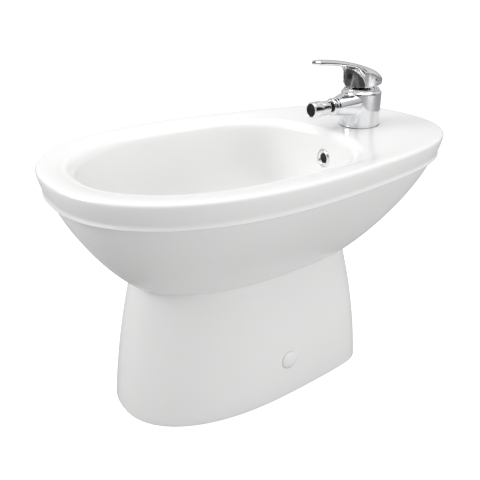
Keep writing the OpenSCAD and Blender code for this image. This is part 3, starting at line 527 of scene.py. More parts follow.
def make_material(name):
    """The finish of that name, in the panel's colours."""
    casting = bpy.context.scene.bidet_casting
    fitting = bpy.context.scene.bidet_fittings
    glaze, bisque = tuple(casting.glaze), tuple(casting.bisque)
    chrome, brass, steel = tuple(fitting.chrome), tuple(fitting.brass), tuple(fitting.steel)
    makers = {
        "glaze": lambda: finish_material(
            "glazed_china", glaze, shade(glaze, 0.995), (0.22, 0.25), 6.0, (14.0, 0.02),
            coat=0.25, coat_rough=0.12),
        "bisque": lambda: finish_material(
            "unglazed_china", bisque, shade(bisque, 0.9), (0.75, 0.9), 14.0, (420.0, 0.5)),
        # Bisque darkened to a tenth for the overflow's bore: the unglazed china is real, its darkness is
        # painted shade
        "passage": lambda: finish_material(
            "unglazed_china_painted_shade_in_overflow", shade(bisque, 0.10), shade(bisque, 0.06), (0.8, 0.9), 60.0,
            (420.0, 0.5)),
        "chrome": lambda: metal("chrome_plate", chrome, 0.97, (0.035, 0.085), 26.0, (60.0, 0.012)),
        # Chrome darkened to a fifth for the lever's recess wall: painted shade and painted dark reflection,
        # not a real finish
        "chrome_painted_shade": lambda: finish_material(
            "chrome_painted_recess_shade", shade(chrome, 0.2), shade(chrome, 0.12), (0.06, 0.12), 60.0,
            (60.0, 0.012), 1.0),
        "brass": lambda: metal(
            "turned_brass", brass, 0.85, (0.22, 0.34), 40.0, (900.0, 0.15), stretch=(0.2, 0.2, 1)),
        "steel": lambda: metal("zinc_plated_steel", steel, 0.86, (0.42, 0.56), 60.0, (700.0, 0.2)),
        "rubber": lambda: finish_material(
            "black_rubber", (0.02, 0.02, 0.021), (0.03, 0.03, 0.03), (0.6, 0.75), 50.0, (1200.0, 0.3)),
        "white_plastic": lambda: finish_material(
            "white_moulding", (0.87, 0.87, 0.865), (0.85, 0.85, 0.84), (0.22, 0.32), 24.0,
            (500.0, 0.05)),
        "grey_plastic": lambda: finish_material(
            "grey_moulding", (0.13, 0.14, 0.15), (0.11, 0.12, 0.13), (0.42, 0.55), 40.0, (1400.0, 0.2)),
        # Near black moulding of the plugs and the aerator's insert; on the nozzle's ball it is also painted
        # shade of the joint's gap
        "dark_plastic": lambda: finish_material(
            "dark_moulding_and_painted_shade", (0.008, 0.008, 0.009), (0.013, 0.013, 0.014), (0.34, 0.46), 50.0,
            (1400.0, 0.1), specular=0.22),
        "disc_ceramic": lambda: finish_material(
            "lapped_ceramic", (0.80, 0.77, 0.70), (0.77, 0.73, 0.66), (0.12, 0.2), 80.0, (900.0, 0.03)),
    }
    return makers[name]()


def material(name):
    """The finish of that name, made on first use."""
    return shared(name, lambda: make_material(name))


# ---------------------------------------------------------------- casting


def mix(a, b, t):
    """a where t is 0 and b where it is 1, along a straight line."""
    return np.asarray(a) + (np.asarray(b) - np.asarray(a)) * t


def quarter(first, count):
    """Angles from first to 90 degrees, evenly spread."""
    return np.radians(np.linspace(first, 90, count))


def bend(t, q):
    """Quarter of a superellipse, 1 - (1 - t^q)^(1/q): 0 at 0, 1 at 1, level at first and steep at last."""
    return 1 - max(0.0, 1 - t**q) ** (1 / q)


def flare(share, s):
    """A share of the straight line s and the rest of 1 - (1 - s)^2, which levels off at the foot."""
    return share * s + (1 - share) * (1 - (1 - s) ** 2)


def outline(section):
    """Closed outline of a horizontal section [front, rear, half width, widest place, p, a, b, taper].

    Ahead of the widest place it is a quarter superellipse of exponent p. Behind it, with t from 0 to 1,
    x = half (1 - taper t^1.5) (1 - t^a)^(1/b) and y runs from the widest place to the rear."""
    front, rear, half, widest, p, a, b, taper = section
    w = np.radians(90) * np.arange(FRONT_POINTS + 1) / FRONT_POINTS
    t = np.sin(np.radians(90) * np.arange(1, REAR_POINTS + 1) / REAR_POINTS)
    x = np.concatenate([
        half * np.sin(w) ** (2 / p),
        half * (1 - taper * t**1.5) * np.clip(1 - t**a, 0, None) ** (1 / b),
    ])
    ahead = widest - (widest - front) * np.cos(w).clip(0) ** (2 / p)
    y = np.concatenate([ahead, mix(widest, rear, t)])
    x[0] = x[-1] = 0
    return np.column_stack([np.concatenate([x, -x[-2:0:-1]]), NOSE_Y + np.concatenate([y, y[-2:0:-1]])])


FRONT_POINTS = 72
REAR_POINTS = 84
# Sections of the casting as outline() reads them, in millimetres from the nose
RIM_SHAPE = [2.33, 7.2, 2.3, 0.32]
BOWL_SHAPE = [2.2, 4.6, 2, 0.0]
NECK = [102, LENGTH - 173, 91, 262.5, 2.33, 6, 4, 0.15]
FOOT = [66, LENGTH - 156, 112, 252.5, 2.3, 14, 7, 0.15]
WASTE = WASTE_Y - NOSE_Y
BOWL_REAR = LENGTH - 178
FLOOR = [128, BOWL_REAR - 95, WIDTH / 2 - 118, WASTE, *BOWL_SHAPE]
SEAT_R = 39.0
SEAT = [WASTE - SEAT_R, WASTE + SEAT_R, SEAT_R, WASTE, 2, 2, 2, 0]
# Heights, walls and edges
BAND = 35.0
BELLY_INSET = 11.5
RIM_EDGE_R = 4.5
RIM_FALL = 4.0
BOWL_INSET = 44.0
BOWL_EDGE_R = 14.0
BOWL_DEPTH = 138.0
FLOOR_FALL = 3.4
SEAT_DEPTH = 145.0
FOOT_EDGE = 2.5
FOOT_INSET = 2.0
WALL = 12.0
VAULT_R = 10.0
DECK_THICK = 18.0
# Bead above the belly's step: inset from the rim's outline and height above the band's lower edge
BEAD = [(9.2, 0.1), (6.9, 0.4), (5.2, 1.0), (4.4, 1.9), (4.3, 2.8), (4.8, 3.9), (5.5, 5.2)]
# Holes and openings
PASSAGE_Y = NOSE_Y + BOWL_REAR + 10
OVERFLOW_R = 8.5
OVERFLOW_SEAT_R = 14.1
POCKET_FRONT = PASSAGE_Y + 15.5
POCKET_REAR = LENGTH / 2 - 45
POCKET_WIDTH = 136.0
POCKET_CORNER_R = 18.0
ARCH_Y = 154.0
ARCH_HALF = 60.0
ARCH_SPRING = 105.0
ARCH_CROWN = 160.0
TAP_HOLE_R = 17.5
THREAD_R = 20.955
FLANGE_SEAT_R = 33.0
CAP_RECESS_R = 13.75
CAP_RECESS_LONG = 24.0
SCREW_HOLE_X = CAP_SEAT_X - 21
SCREW_HOLE_R = 6.0
SCREW_HOLE_LONG = 36.0
THROUGH = 60.0


def between(first, last, t, three):
    """Section between two others: the first three numbers have a share each, the rest have the share t."""
    return [mix(a, b, share) for a, b, share in zip(first, last, [*three, t, t, t, t, t])]


def rim_section(inset):
    """The rim's outline moved in by the inset."""
    return [inset, LENGTH - inset, WIDTH / 2 - inset, 252, *RIM_SHAPE]


def pedestal_section(z, inset=0.0):
    """From the neck at the crease to the foot at the floor by flare(), moved in by the inset."""
    s = 1 - z / CREASE_Z
    front, rear, half, *rest = between(NECK, FOOT, s, [flare(share, s) for share in (0.6, 0.33, 0.24)])
    return [front + inset, rear - inset, half - inset, *rest]


def belly_section(t):
    """From under the step to the neck by bend()."""
    return between(rim_section(BELLY_INSET), NECK, t, [bend(t, power) for power in (1.27, 1.26, 1.1)])


def bowl_section(grow):
    """The bowl's upper outline, grown by so much."""
    widest = mix(BOWL_INSET, BOWL_REAR, 0.49)
    return [BOWL_INSET - grow, BOWL_REAR + grow, WIDTH / 2 - 50 + grow, widest, *BOWL_SHAPE]


def bowl_wall_section(t):
    """From the bowl's upper outline to its floor by bend()."""
    return between(bowl_section(0), FLOOR, t, [bend(t, power) for power in (1.9, 3.2, 2)])


def casting_rings():
    """All outlines of the casting's skin with their heights: from inside the foot, down and out, up over the
    crease, belly, step and band to the rim, and down into the bowl. Edges are quarter circles, and at the
    foot a quarter ellipse."""
    top, step = RIM_Z, RIM_Z - BAND
    inner = [(pedestal_section(CREASE_Z, WALL + VAULT_R), CREASE_Z)]
    for a in quarter(15, 6):
        z = CREASE_Z - VAULT_R * (1 - np.cos(a))
        inner.append((pedestal_section(z, WALL + VAULT_R * (1 - np.sin(a))), z))
    inner += [(pedestal_section(z, WALL), z) for z in np.linspace(CREASE_Z * 0.92, 0, 14)]
    skin = [*inner, (pedestal_section(0, FOOT_INSET), 0)]
    for a in np.radians([20, 40, 65, 90]):
        z = FOOT_EDGE * (1 - np.cos(a))
        skin.append((pedestal_section(z, FOOT_INSET * (1 - np.sin(a))), z))
    skin += [(pedestal_section(z), z) for z in np.linspace(8, CREASE_Z, 26)]
    skin += [(belly_section(t), mix(step, CREASE_Z, t)) for t in np.linspace(1, 0, 44)[1:]]
    skin += [(rim_section(inset), step + rise) for inset, rise in BEAD]
    for t in np.linspace(1, 0, 12):
        skin.append((rim_section(5.8 * t**1.5), mix(top - RIM_EDGE_R, step + 7, t)))
    for a in quarter(10, 9):
        skin.append((rim_section(RIM_EDGE_R * (1 - np.cos(a))), top - RIM_EDGE_R * (1 - np.sin(a))))
    outside = len(skin)
    top -= RIM_FALL
    for a in quarter(0, 16):
        skin.append((bowl_section(BOWL_EDGE_R * (1 - np.sin(a))), top - BOWL_EDGE_R * (1 - np.cos(a))))
    for share in np.sin(quarter(2, 46)):
        skin.append((bowl_wall_section(share), mix(top - BOWL_EDGE_R, RIM_Z - BOWL_DEPTH, share)))
    rings = [outline(section) for section, z in skin]
    rings = [np.column_stack([ring, np.full(len(ring), z)]) for ring, (section, z) in zip(rings, skin)]
    return rings, len(inner), outside


def casting_mesh(crown):
    """Points, faces and material numbers of the whole skin.

    The rim's top is filled with straight mixtures of its two outlines, raised by 4 crown t (1 - t).
    The bowl's floor is filled in the same way down to a circle round the waste, falling as 1 - (1 - t)^2."""
    rings, unglazed, rim = casting_rings()
    outer, inner, last = rings[rim - 1], rings[rim], rings[-1]
    lift = np.array([0, 0, 4 * crown])
    rim_top = [mix(outer, inner, t) + lift * t * (1 - t) for t in np.linspace(0, 1, 18)[1:-1]]
    seat, low = outline(SEAT), RIM_Z - BOWL_DEPTH - FLOOR_FALL
    floor = []
    for t in np.linspace(0, 1, 9)[1:]:
        z = np.full(len(last), mix(last[0, 2], low, 1 - (1 - t) ** 2))
        floor.append(np.column_stack([mix(last[:, :2], seat, t), z]))
    rings = rings[:rim] + rim_top + rings[rim:] + floor
    columns = len(rings[0])
    points = np.vstack([*rings, [[0, WASTE_Y, CREASE_Z]], [[0, WASTE_Y, RIM_Z - BOWL_DEPTH - 4]]])
    sides = ring_faces(len(rings), columns)[:, ::-1]
    j = np.arange(columns)
    start, end = np.full(columns, len(points) - 2), np.full(columns, len(points) - 1)
    tail = (len(rings) - 1) * columns
    ceiling = np.stack([start, j, (j + 1) % columns], axis=-1)
    bottom = np.stack([end, tail + (j + 1) % columns, tail + j], axis=-1)
    bisque = np.repeat((np.arange(len(rings) - 1) < unglazed).astype(int), columns)
    slots = np.concatenate([bisque, np.ones(columns, dtype=int), np.zeros(columns, dtype=int)])
    return points, [sides, ceiling, bottom], slots


class BIDET_OT_casting(Operator):
    """The glazed casting: one skin through about two hundred outlines, with its holes and openings cut"""

    bl_idname = "bidet.casting"
    bl_label = "Casting"

    def execute(self, context):
        crown = context.scene.bidet_casting.rim_crown / MM
        points, faces, slots = casting_mesh(crown)
        piece = mesh_object("casting", points, faces, [material("glaze"), material("bisque")], slots)
        pocket = rounded_rectangle(POCKET_WIDTH, POCKET_REAR - POCKET_FRONT, POCKET_CORNER_R)
        middle_y = (POCKET_FRONT + POCKET_REAR) / 2
        cut(piece, [
            prism(pocket, 0, DECK_Z - DECK_THICK - CREASE_Z, upright(middle_y, CREASE_Z)),
            prism(arch(ARCH_HALF, -1, ARCH_SPRING, ARCH_CROWN), 0, THROUGH, to_nose(ARCH_Y, 0)),
            prism(circle(THREAD_R + 2), 0, BOWL_DEPTH, upright(WASTE_Y, CREASE_Z - 1)),
        ], material("bisque"))
        # The overflow's bore gets the darkened bisque: painted shade in the hole
        overflow = prism(circle(OVERFLOW_R), 0, THROUGH, to_nose(PASSAGE_Y, OVERFLOW_Z))
        cut(piece, [overflow], material("passage"))
        glazed = [
            prism(circle(FLANGE_SEAT_R), 0, BOWL_DEPTH, upright(WASTE_Y, RIM_Z - SEAT_DEPTH)),
            prism(circle(OVERFLOW_SEAT_R), 0, THROUGH, to_nose(OVERFLOW_SEAT_Y, OVERFLOW_Z)),
            prism(circle(TAP_HOLE_R), 0, DECK_THICK + 2, upright(TAP_Y, DECK_Z - DECK_THICK - 1)),
            prism(circle(BODY_R + 1.5), 0, 6, upright(TAP_Y, DECK_Z)),
        ]
        for side in (1, -1):
            recess = to_side(side * CAP_SEAT_X, FIXING_Y, FIXING_Z)
            hole = to_side(side * SCREW_HOLE_X, FIXING_Y, FIXING_Z)
            glazed.append(prism(circle(CAP_RECESS_R), 0, CAP_RECESS_LONG, recess))
            glazed.append(prism(circle(SCREW_HOLE_R), 0, SCREW_HOLE_LONG, hole))
        cut(piece, glazed)
        finish_shading(piece, 40)
        settle(piece, "base", "ceramic_body")
        return {"FINISHED"}


# ---------------------------------------------------------------- turned pieces

TURNED_SHARP = 30
SLOT_DEPTH = 13.5
CAP_R = 13.4
CAP_SIDE = 3.0


def dome(radius, low, height, steps=24):
    """Quarter ellipse from (radius, low) up to the axis: r = radius cos a, h = low + height sin a."""
    a = np.radians(90) * np.arange(1, steps + 1) / steps
    profile = np.column_stack([radius * np.cos(a), low + height * np.sin(a)])
    profile[-1, 0] = 0
    return profile


def ring_piece(name, corners, radii, finish, place, cutters=()):
    """Ring turned from a closed profile whose corners are rounded; cutters are taken out of it."""
    corners = np.asarray(corners, dtype=float)
    start = (corners[0] + corners[-1]) / 2
    profile = rounded_profile([start, *corners, start], [0, *radii, 0])[:-1]
    shape = lathe(profile, place, closed=True)
    piece = mesh_object(name, *shape, [material(finish)], sharp=TURNED_SHARP)
    if cutters:
        cut(piece, cutters)
        finish_shading(piece, TURNED_SHARP)
    return piece


def axis_piece(name, profile, finish, place, steps=128):
    """Solid turned from a profile that starts and ends on the axis."""
    return mesh_object(name, *lathe(profile, place, steps), [material(finish)], sharp=TURNED_SHARP)


class BIDET_OT_waste(Operator):
    """The waste's flange and tube, its domed cap, and the overflow's ring"""

    bl_idname = "bidet.waste"
    bl_label = "Waste and overflow"

    def execute(self, context):
        soft = context.scene.bidet_fittings.edge_radius / MM
        slots = []
        for a in np.radians([0, 90]):
            c, s = np.cos(a), np.sin(a)
            height = FLANGE_Z - SLOT_DEPTH
            across = np.array([[0, -s, c, 0], [0, c, s, WASTE_Y], [-1, 0, 0, height], [0, 0, 0, 1]])
            slots.append(prism(circle(5, 48), -22, 22, across))
        groove_r = THREAD_R - 0.8
        tube = [(18, -98), (THREAD_R, -98), (THREAD_R, -49), (groove_r, -49), (groove_r, -47),
                (THREAD_R, -47), (THREAD_R, -2.5), (31.5, -2.5), (31.5, -0.9), (28.6, 0), (20.8, 0),
                (18, -6.5)]
        radii = [soft, soft, 0, 0, 0, 0, 0.3, soft, 1.6, 1.2, 0.7, 1.5]
        flange = ring_piece("waste_flange", tube, radii, "chrome", upright(WASTE_Y, FLANGE_Z), slots)
        settle(flange, "base", "waste_body")
        cap = [(0, 0), (3.05, 0), (3.05, -2), (4.4, -2), (4.4, 0), (20, 0), (20, 1.2)]
        profile = np.vstack([rounded_profile(cap, [0, 0, 0, 0, 0, soft, 0]), dome(20, 1.2, 3.8)])
        plug = axis_piece("plug_dome", profile, "chrome", upright(WASTE_Y, FLANGE_Z - 1.2))
        settle(plug, "plug", "plug_cap")
        ring = [(7.3, -9), (8.3, -9), (8.3, 0), (13.5, 0), (13.5, 1.5), (11.9, 3), (9.5, 3), (7.3, 1.2)]
        radii = [0, 0, 0, soft, 1.4, 1.4, 0.9, 1.5]
        trim = ring_piece("overflow_trim", ring, radii, "chrome", to_nose(OVERFLOW_SEAT_Y, OVERFLOW_Z))
        settle(trim, "base", "overflow_ring")
        return {"FINISHED"}


class BIDET_OT_caps(Operator):
    """The two domed caps over the side screws"""

    bl_idname = "bidet.caps"
    bl_label = "Screw caps"

    def execute(self, context):
        wall = [(0, 5.4), (8.8, 5.4), (8.8, 0), (12, 0), (CAP_R, 1.4), (CAP_R, CAP_SIDE)]
        wall = rounded_profile(wall, [0, 0.4, 0.4, 0.4, 0.4, 0])
        profile = np.vstack([wall, dome(CAP_R, CAP_SIDE, CAP_HEIGHT - CAP_SIDE)])
        for name, side in (("right", 1), ("left", -1)):
            place = to_side(side * CAP_SEAT_X, FIXING_Y, FIXING_Z)
            piece = axis_piece(f"cap_{name}", profile, "white_plastic", place, 96)
            settle(piece, "base", "screw_caps")
        return {"FINISHED"}


# ---------------------------------------------------------------- mixer


def soften(piece, voxel, passes):
    """Merges overlapping closed shells by a voxel remesh and relaxes the result.

    That rounds every edge and makes a fillet where two shells meet."""
    remesh = piece.modifiers.new("merge", "REMESH")
    remesh.mode = "VOXEL"
    remesh.voxel_size = voxel * MM
    relax = piece.modifiers.new("relax", "SMOOTH")
    relax.factor = 0.5
    relax.iterations = passes
    bake(piece)


def superellipse(half, up, down, power, steps=96):
    """Closed section: x = half cos, z = up sin above and down sin below.

    Each sine and cosine keeps its sign and is raised to 2 / power."""
    a = 2 * np.pi * np.arange(steps) / steps
    c, s = np.cos(a), np.sin(a)
    x = half * np.sign(c) * np.abs(c) ** (2 / power)
    z = np.where(s > 0, up, down) * np.sign(s) * np.abs(s) ** (2 / power)
    return np.column_stack([x, z])


def loft(sections, stations):
    """Closed skin through (x, z) sections at the given y stations, with a point at the middle of each end."""
    n = len(sections[0])
    rings = [np.column_stack([s[:, 0], np.full(n, y), s[:, 1]]) for s, y in zip(sections, stations)]
    ends = [rings[0].mean(axis=0), rings[-1].mean(axis=0)]
    points = np.vstack([*rings, ends])
    j = np.arange(n)
    start, tail = len(points) - 2, (len(rings) - 1) * n
    first = np.stack([np.full(n, start), (j + 1) % n, j], axis=-1)
    last = np.stack([np.full(n, start + 1), tail + j, tail + (j + 1) % n], axis=-1)
    return points, [ring_faces(len(rings), n), first, last]


def in_mixer(shape):
    """From the mixer's own measures, with its axis at 0 and the deck at 0, to the bidet."""
    return shape[0] + np.array([0, TAP_Y, DECK_Z]), shape[1]


def at_spout(ahead=0.0):
    """Lathe axis along the spout, from its end or so far ahead of it."""
    return to_nose(TAP_Y - SPOUT_REACH - ahead, DECK_Z + SPOUT_HEIGHT)


# The mixer's body: gap under the foot, the spout's root and end, and the bores and seats in it
FOOT_GAP = 0.8
ROOT_HALF = 29.4
ROOT_BELOW = 15.5
SPOUT_END_LONG = 12.0
CARTRIDGE_FLOOR = 14.0
INLET_R = 4.5
INLET_X = 8.5
STUD_R = 4.05
STUD_Y = 10.5
GROOVE_OUTER_R = 28.5
GROOVE_INNER_R = 22.0
SOCKET_R = 10.6
SOCKET_MOUTH_R = 11.6


def spout_neck():
    """The spout from inside the column to its end, s being the share of the way.

    Its section is a superellipse, and half width, height above and below the axis and power pass to those of
    a circle by powers of s."""
    s = np.linspace(0, 1, 30)
    half = mix(ROOT_HALF, SPOUT_R, s**0.95)
    above = mix(BODY_TOP - SPOUT_HEIGHT - 0.4, SPOUT_R, s**0.85)
    below = mix(ROOT_BELOW, SPOUT_R, s)
    power = mix(5.0, 2.0, s**1.3)
    sections = [superellipse(*v) + [0, SPOUT_HEIGHT] for v in zip(half, above, below, power)]
    return loft(sections, -2 - (SPOUT_REACH - 6) * s)


class BIDET_OT_mixer(Operator):
    """The mixer's body with its spout, and the thin domed ring above it"""

    bl_idname = "bidet.mixer"
    bl_label = "Mixer body"

    def execute(self, context):
        column = [(0, FOOT_GAP), (BODY_R, FOOT_GAP), (BODY_R, BODY_TOP - 3.2), (BODY_R - 3, BODY_TOP),
                  (0, BODY_TOP)]
        end = [(0, 0), (SPOUT_R, 0), (SPOUT_R, SPOUT_END_LONG), (0, SPOUT_END_LONG)]
        parts = [lathe(column, upright(0, 0)), spout_neck(),
                 lathe(end, to_nose(SPOUT_END_LONG - SPOUT_REACH, SPOUT_HEIGHT))]
        piece = mesh_object("mixer_casting", *in_mixer(joined(parts)), [material("chrome")])
        soften(piece, voxel=0.6, passes=12)
        deck = upright(TAP_Y, DECK_Z)
        bore = [(0, CARTRIDGE_FLOOR), (CARTRIDGE_R, CARTRIDGE_FLOOR), (CARTRIDGE_R, 70), (0, 70)]
        groove = prism(circle(GROOVE_OUTER_R), -2, 2, deck)
        cut(piece, [
            lathe(bore, deck),
            prism(circle(INLET_R, 48) + [-INLET_X, -1], -2, 9, deck),
            prism(circle(INLET_R, 48) + [INLET_X, -1], -2, 9, deck),
            prism(circle(STUD_R, 48) + [0, STUD_Y], -2, 11, deck),
            difference(groove, prism(circle(GROOVE_INNER_R), -4, 4, deck)),
            prism(circle(SOCKET_R), -9, 4, at_spout()),
            prism(circle(SOCKET_MOUTH_R), -6, 4, at_spout()),
        ])
        finish_shading(piece, 35)
        settle(piece, "base", "mixer_body")
        ring = [(23.6, 0), (26.6, 0), (26.6, 1.6), (25.4, 2.6), (21.5, 4.4), (16.4, 6.2), (16.4, 4.7),
                (20.6, 3.2), (23.6, 1.2)]
        radii = [0, 0.3, 0.6, 0.8, 5, 0.3, 0.3, 3, 0.4]
        bonnet = ring_piece("bonnet_ring", ring, radii, "chrome", upright(TAP_Y, DECK_Z + BODY_TOP))
        settle(bonnet, "base", "bonnet")
        return {"FINISHED"}


# ---------------------------------------------------------------- lever

TIP = 6.0
SKIRT_RISE = 6.0
RECESS_R = HUB_R - 2.6
RECESS_Y = -8.0
WELL_R = HUB_R - 4.5
STEM_TOP = 80.5
PLUG_SEAT_Y = 21.1


def skirt(y):
    """The hub's lower edge, rising in a straight slope from front to rear."""
    return SKIRT + SKIRT_RISE * (y + HUB_R) / (2 * HUB_R)


def rear_drop(y):
    """Fall of the lever's shoulder: 6 t^2.2, with t from a quarter of the hub's radius to its rear."""
    return 6 * np.clip((y - HUB_R / 4) / (HUB_R * 3 / 4), 0, 1.2) ** 2.2


def blade_top(y):
    """Upper edge: rear height plus the rest times (1 - (1 - t)^1.6)^(1/1.6), t from rear to tip."""
    t = (HUB_R - y) / (HUB_R + LEVER_REACH)
    rise = (1 - (1 - t).clip(0) ** 1.6).clip(0) ** (1 / 1.6)
    return LEVER_REAR - rear_drop(y) + (LEVER_TOP - LEVER_REAR) * rise


def blade_side(y):
    """Height of the lever's widest line: the rear height, passing by a smoothstep to just under the top."""
    t = np.clip((-5 - y) / 27, 0, 1)
    return mix(LEVER_REAR - 2 - rear_drop(y) * 0.7, blade_top(y) - BLADE * 0.55, t * t * (3 - 2 * t))


def blade_low(y):
    """Under side: the blade's thickness below the top, and more towards the hub by a parabola.

    It stays 2 above the hub's sloping lower edge and 2 below the widest line."""
    root = -LEVER_REACH * 0.4
    depth = BLADE + np.where(y < root, 0, 6 * ((y - root) / 21) ** 2)
    return np.minimum(blade_side(y) - 2, np.maximum(skirt(y) + 2, blade_top(y) - depth))


def blade_half(y):
    """Half width: a circle behind the axis, and a power 1.7 curve from the hub to the tip before it."""
    behind = SHOULDER_R * np.sqrt((1 - (y / SHOULDER_R) ** 2).clip(0))
    front = mix(9.0, SHOULDER_R, ((y + LEVER_REACH) / LEVER_REACH).clip(0) ** 1.7)
    return np.where(y > 0, behind, front)


def blade_parts():
    """The lever's blade with the hub's domed top, lofted from the rear to the tip.

    At the tip the section shrinks by (1 - sin^3)^(1/3) while y runs on by the sine."""
    rear = SHOULDER_R * np.cos(quarter(4, 26))
    ahead = -np.linspace(0, LEVER_REACH - TIP, 60)[1:]
    turn = np.radians(np.linspace(8, 84, 12))
    y = np.concatenate([rear, ahead, TIP - LEVER_REACH - TIP * np.sin(turn)])
    close = np.concatenate([np.ones(len(rear) + len(ahead)), (1 - np.sin(turn) ** 3) ** (1 / 3)])
    side, top, low, half = blade_side(y), blade_top(y), blade_low(y), blade_half(y)
    sections = [
        superellipse(h * c, (t - s) * c, (s - b) * c, 2.35) + [0, s]
        for h, s, t, b, c in zip(half, side, top, low, close)
    ]
    return loft(sections, y)


def hub_parts():
    """The hub: a cylinder from skirt(y) up to z = middle - slope y - rear_drop(y)."""
    rim = circle(HUB_R, 128)
    y = rim[:, 1]
    front = blade_top(np.array([-HUB_R]))[0] - 5
    high = (LEVER_REAR + front) / 2 - 2 - y * (front - LEVER_REAR) / (2 * HUB_R) - rear_drop(y)
    points = np.vstack([np.column_stack([rim, skirt(y)]), np.column_stack([rim, high])])
    n = len(rim)
    return points, [ring_faces(2, n), [np.arange(n)[::-1]], [np.arange(n) + n]]


class BIDET_OT_lever(Operator):
    """The lever with its hub, its arched recess and the dark plug in front"""

    bl_idname = "bidet.lever"
    bl_label = "Lever"

    def execute(self, context):
        tap, screw_axis = upright(TAP_Y, DECK_Z), to_nose(TAP_Y, DECK_Z + SCREW_HEIGHT)
        front = arch(RECESS_HALF, SKIRT - 1, SKIRT + 4, LEVER_TOP - 17)
        recess = in_mixer(prism(front, 0, 40, to_nose(RECESS_Y, 0)))
        recess = difference(recess, prism(circle(RECESS_R), SKIRT - 5, SKIRT + 55, tap))
        hub = difference(in_mixer(hub_parts()), recess)
        shape = joined([hub, in_mixer(blade_parts())])
        piece = mesh_object("lever_blade", *shape, [material("chrome")])
        soften(piece, voxel=0.55, passes=7)
        cut(piece, [
            prism(circle(WELL_R), SKIRT - 3, SKIRT + 9, tap),
            prism(rounded_rectangle(STEM_SQUARE, STEM_SQUARE, 0.3, 2), SKIRT, STEM_TOP, tap),
            prism(circle(SCREW_R, 32), STEM_SQUARE / 2, HUB_R, screw_axis),
            prism(circle(PLUG_SEAT_R, 64), PLUG_SEAT_Y, PLUG_SEAT_Y + 20, screw_axis),
        ])
        finish_shading(piece, 40)
        x, y, z = (face_centres(piece) - [0, TAP_Y, DECK_Z]).T
        r = np.hypot(x, y)
        # The recess wall under the lever takes the darkened chrome: painted shade and painted dark reflection
        painted_shade_faces = (r > HUB_R - 4.2) & (r < HUB_R - 1.5) & (y < RECESS_Y) & (z < LEVER_TOP - 15)
        give_second_finish(piece, "chrome_painted_shade", painted_shade_faces)
        settle(piece, "lever", "lever_handle")
        profile = rounded_profile([(0, 0), (4.6, 0), (4.6, 5.2), (3.9, 5.8), (0, 6.0)], [0, 0.2, 0.5, 0.5, 0])
        place = to_nose(TAP_Y - PLUG_SEAT_Y - CLEARANCE, DECK_Z + SCREW_HEIGHT)
        plug = axis_piece("lever_plug", profile, "dark_plastic", place, 64)
        settle(plug, "lever", "indicator_plug")
        return {"FINISHED"}


# ---------------------------------------------------------------- nozzle

NECK_END = 9.6
# Boxes that leave the nozzle's spanner flats 19.4 mm apart
FLAT_BOX = (8.0, 30.0)
FLAT_X = 13.7


class BIDET_OT_nozzle(Operator):
    """The ring at the spout's end, the nozzle with its ball, and the aerator's housing"""

    bl_idname = "bidet.nozzle"
    bl_label = "Nozzle"

    def execute(self, context):
        soft = context.scene.bidet_fittings.edge_radius / MM
        inner = BALL_R + CLEARANCE
        a = np.linspace(np.arcsin(5.8 / inner), 0.02, 10)
        cup = np.column_stack([inner * np.cos(a), inner * np.sin(a)])
        ring = [(inner, -5.5), (11.3, -5.5), (11.3, 0), (12.95, 0), (12.95, 4.4), (11.4, 5.8), *cup]
        radii = [0, 0.3, 0, soft, 1.2, 0.8, 0.3, *np.zeros(len(cup) - 1)]
        settle(ring_piece("spout_ring", ring, radii, "chrome", at_spout()), "base", "socket_ring")
        a = np.linspace(np.arcsin(-8.33 / BALL_R), np.arcsin(7.416 / BALL_R), 40)
        ball = np.column_stack([BALL_R * np.cos(a), BALL_R * np.sin(a)])
        barrel = [*ball, (5.1, 8.9), (6.2, 9.2), (10.5, 12.5), (10.5, NOZZLE_END), (3.4, NOZZLE_END)]
        radii = [*np.zeros(len(ball)), 0.4, 1.2, 1.4, soft, 0]
        flat = rounded_rectangle(*FLAT_BOX, 0.2, 2)
        flats = [prism(flat + [x, 0], 15.5, 24.5, at_spout()) for x in (-FLAT_X, FLAT_X)]
        tube = ring_piece("nozzle_tube", barrel, radii, "chrome", at_spout(), flats)
        # The ball and its neck take the near black moulding: a dark plastic ball, and painted shade of the gap
        # between spout and nozzle
        ahead = TAP_Y - SPOUT_REACH - face_centres(tube)[:, 1]
        give_second_finish(tube, "dark_plastic", ahead < NECK_END)
        settle(tube, "nozzle", "nozzle_barrel")
        ring = [(6, 0), (11.1, 0), (11.1, 1.6), (11.5, 1.6), (11.5, 15.8), (10.6, 17), (9.5, 17), (9.5, 3),
                (6, 3)]
        radii = [0, 0.3, 0, 0.2, 1.0, 0.5, 0.3, 0.2, 0.2]
        aerator = ring_piece("aerator_ring", ring, radii, "chrome", at_spout(NOZZLE_END))
        settle(aerator, "nozzle", "aerator_housing")
        return {"FINISHED"}


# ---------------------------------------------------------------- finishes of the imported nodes


NODE_FINISH = {
    "chrome": ["overflow_ring", "waste_body", "waste_back_nut", "plug_cap", "mixer_body", "bonnet",
               "lever_handle", "socket_ring", "nozzle_barrel", "aerator_housing"],
    "brass": ["fixing_stud", "stud_nut", "lever_stem"],
    "steel": ["retaining_nut", "floor_brackets", "bracket_nuts", "side_screws", "plug_stem", "clamp_washer",
              "pivot_pin", "grub_screw"],
    "rubber": ["waste_upper_seal", "waste_lower_seal", "plug_seal", "base_gasket", "clamp_gasket",
               "cartridge_seals", "ball_gasket"],
    "white_plastic": ["side_sleeves", "screw_caps", "waste_washer", "plug_guide", "disc_carrier",
                      "lever_guide", "ball_seat"],
    "grey_plastic": ["plug_clicker", "cartridge_housing"],
    "dark_plastic": ["indicator_plug", "aerator_insert"],
    "disc_ceramic": ["fixed_disc", "moving_disc"],
    "glaze": ["ceramic_body"],
}


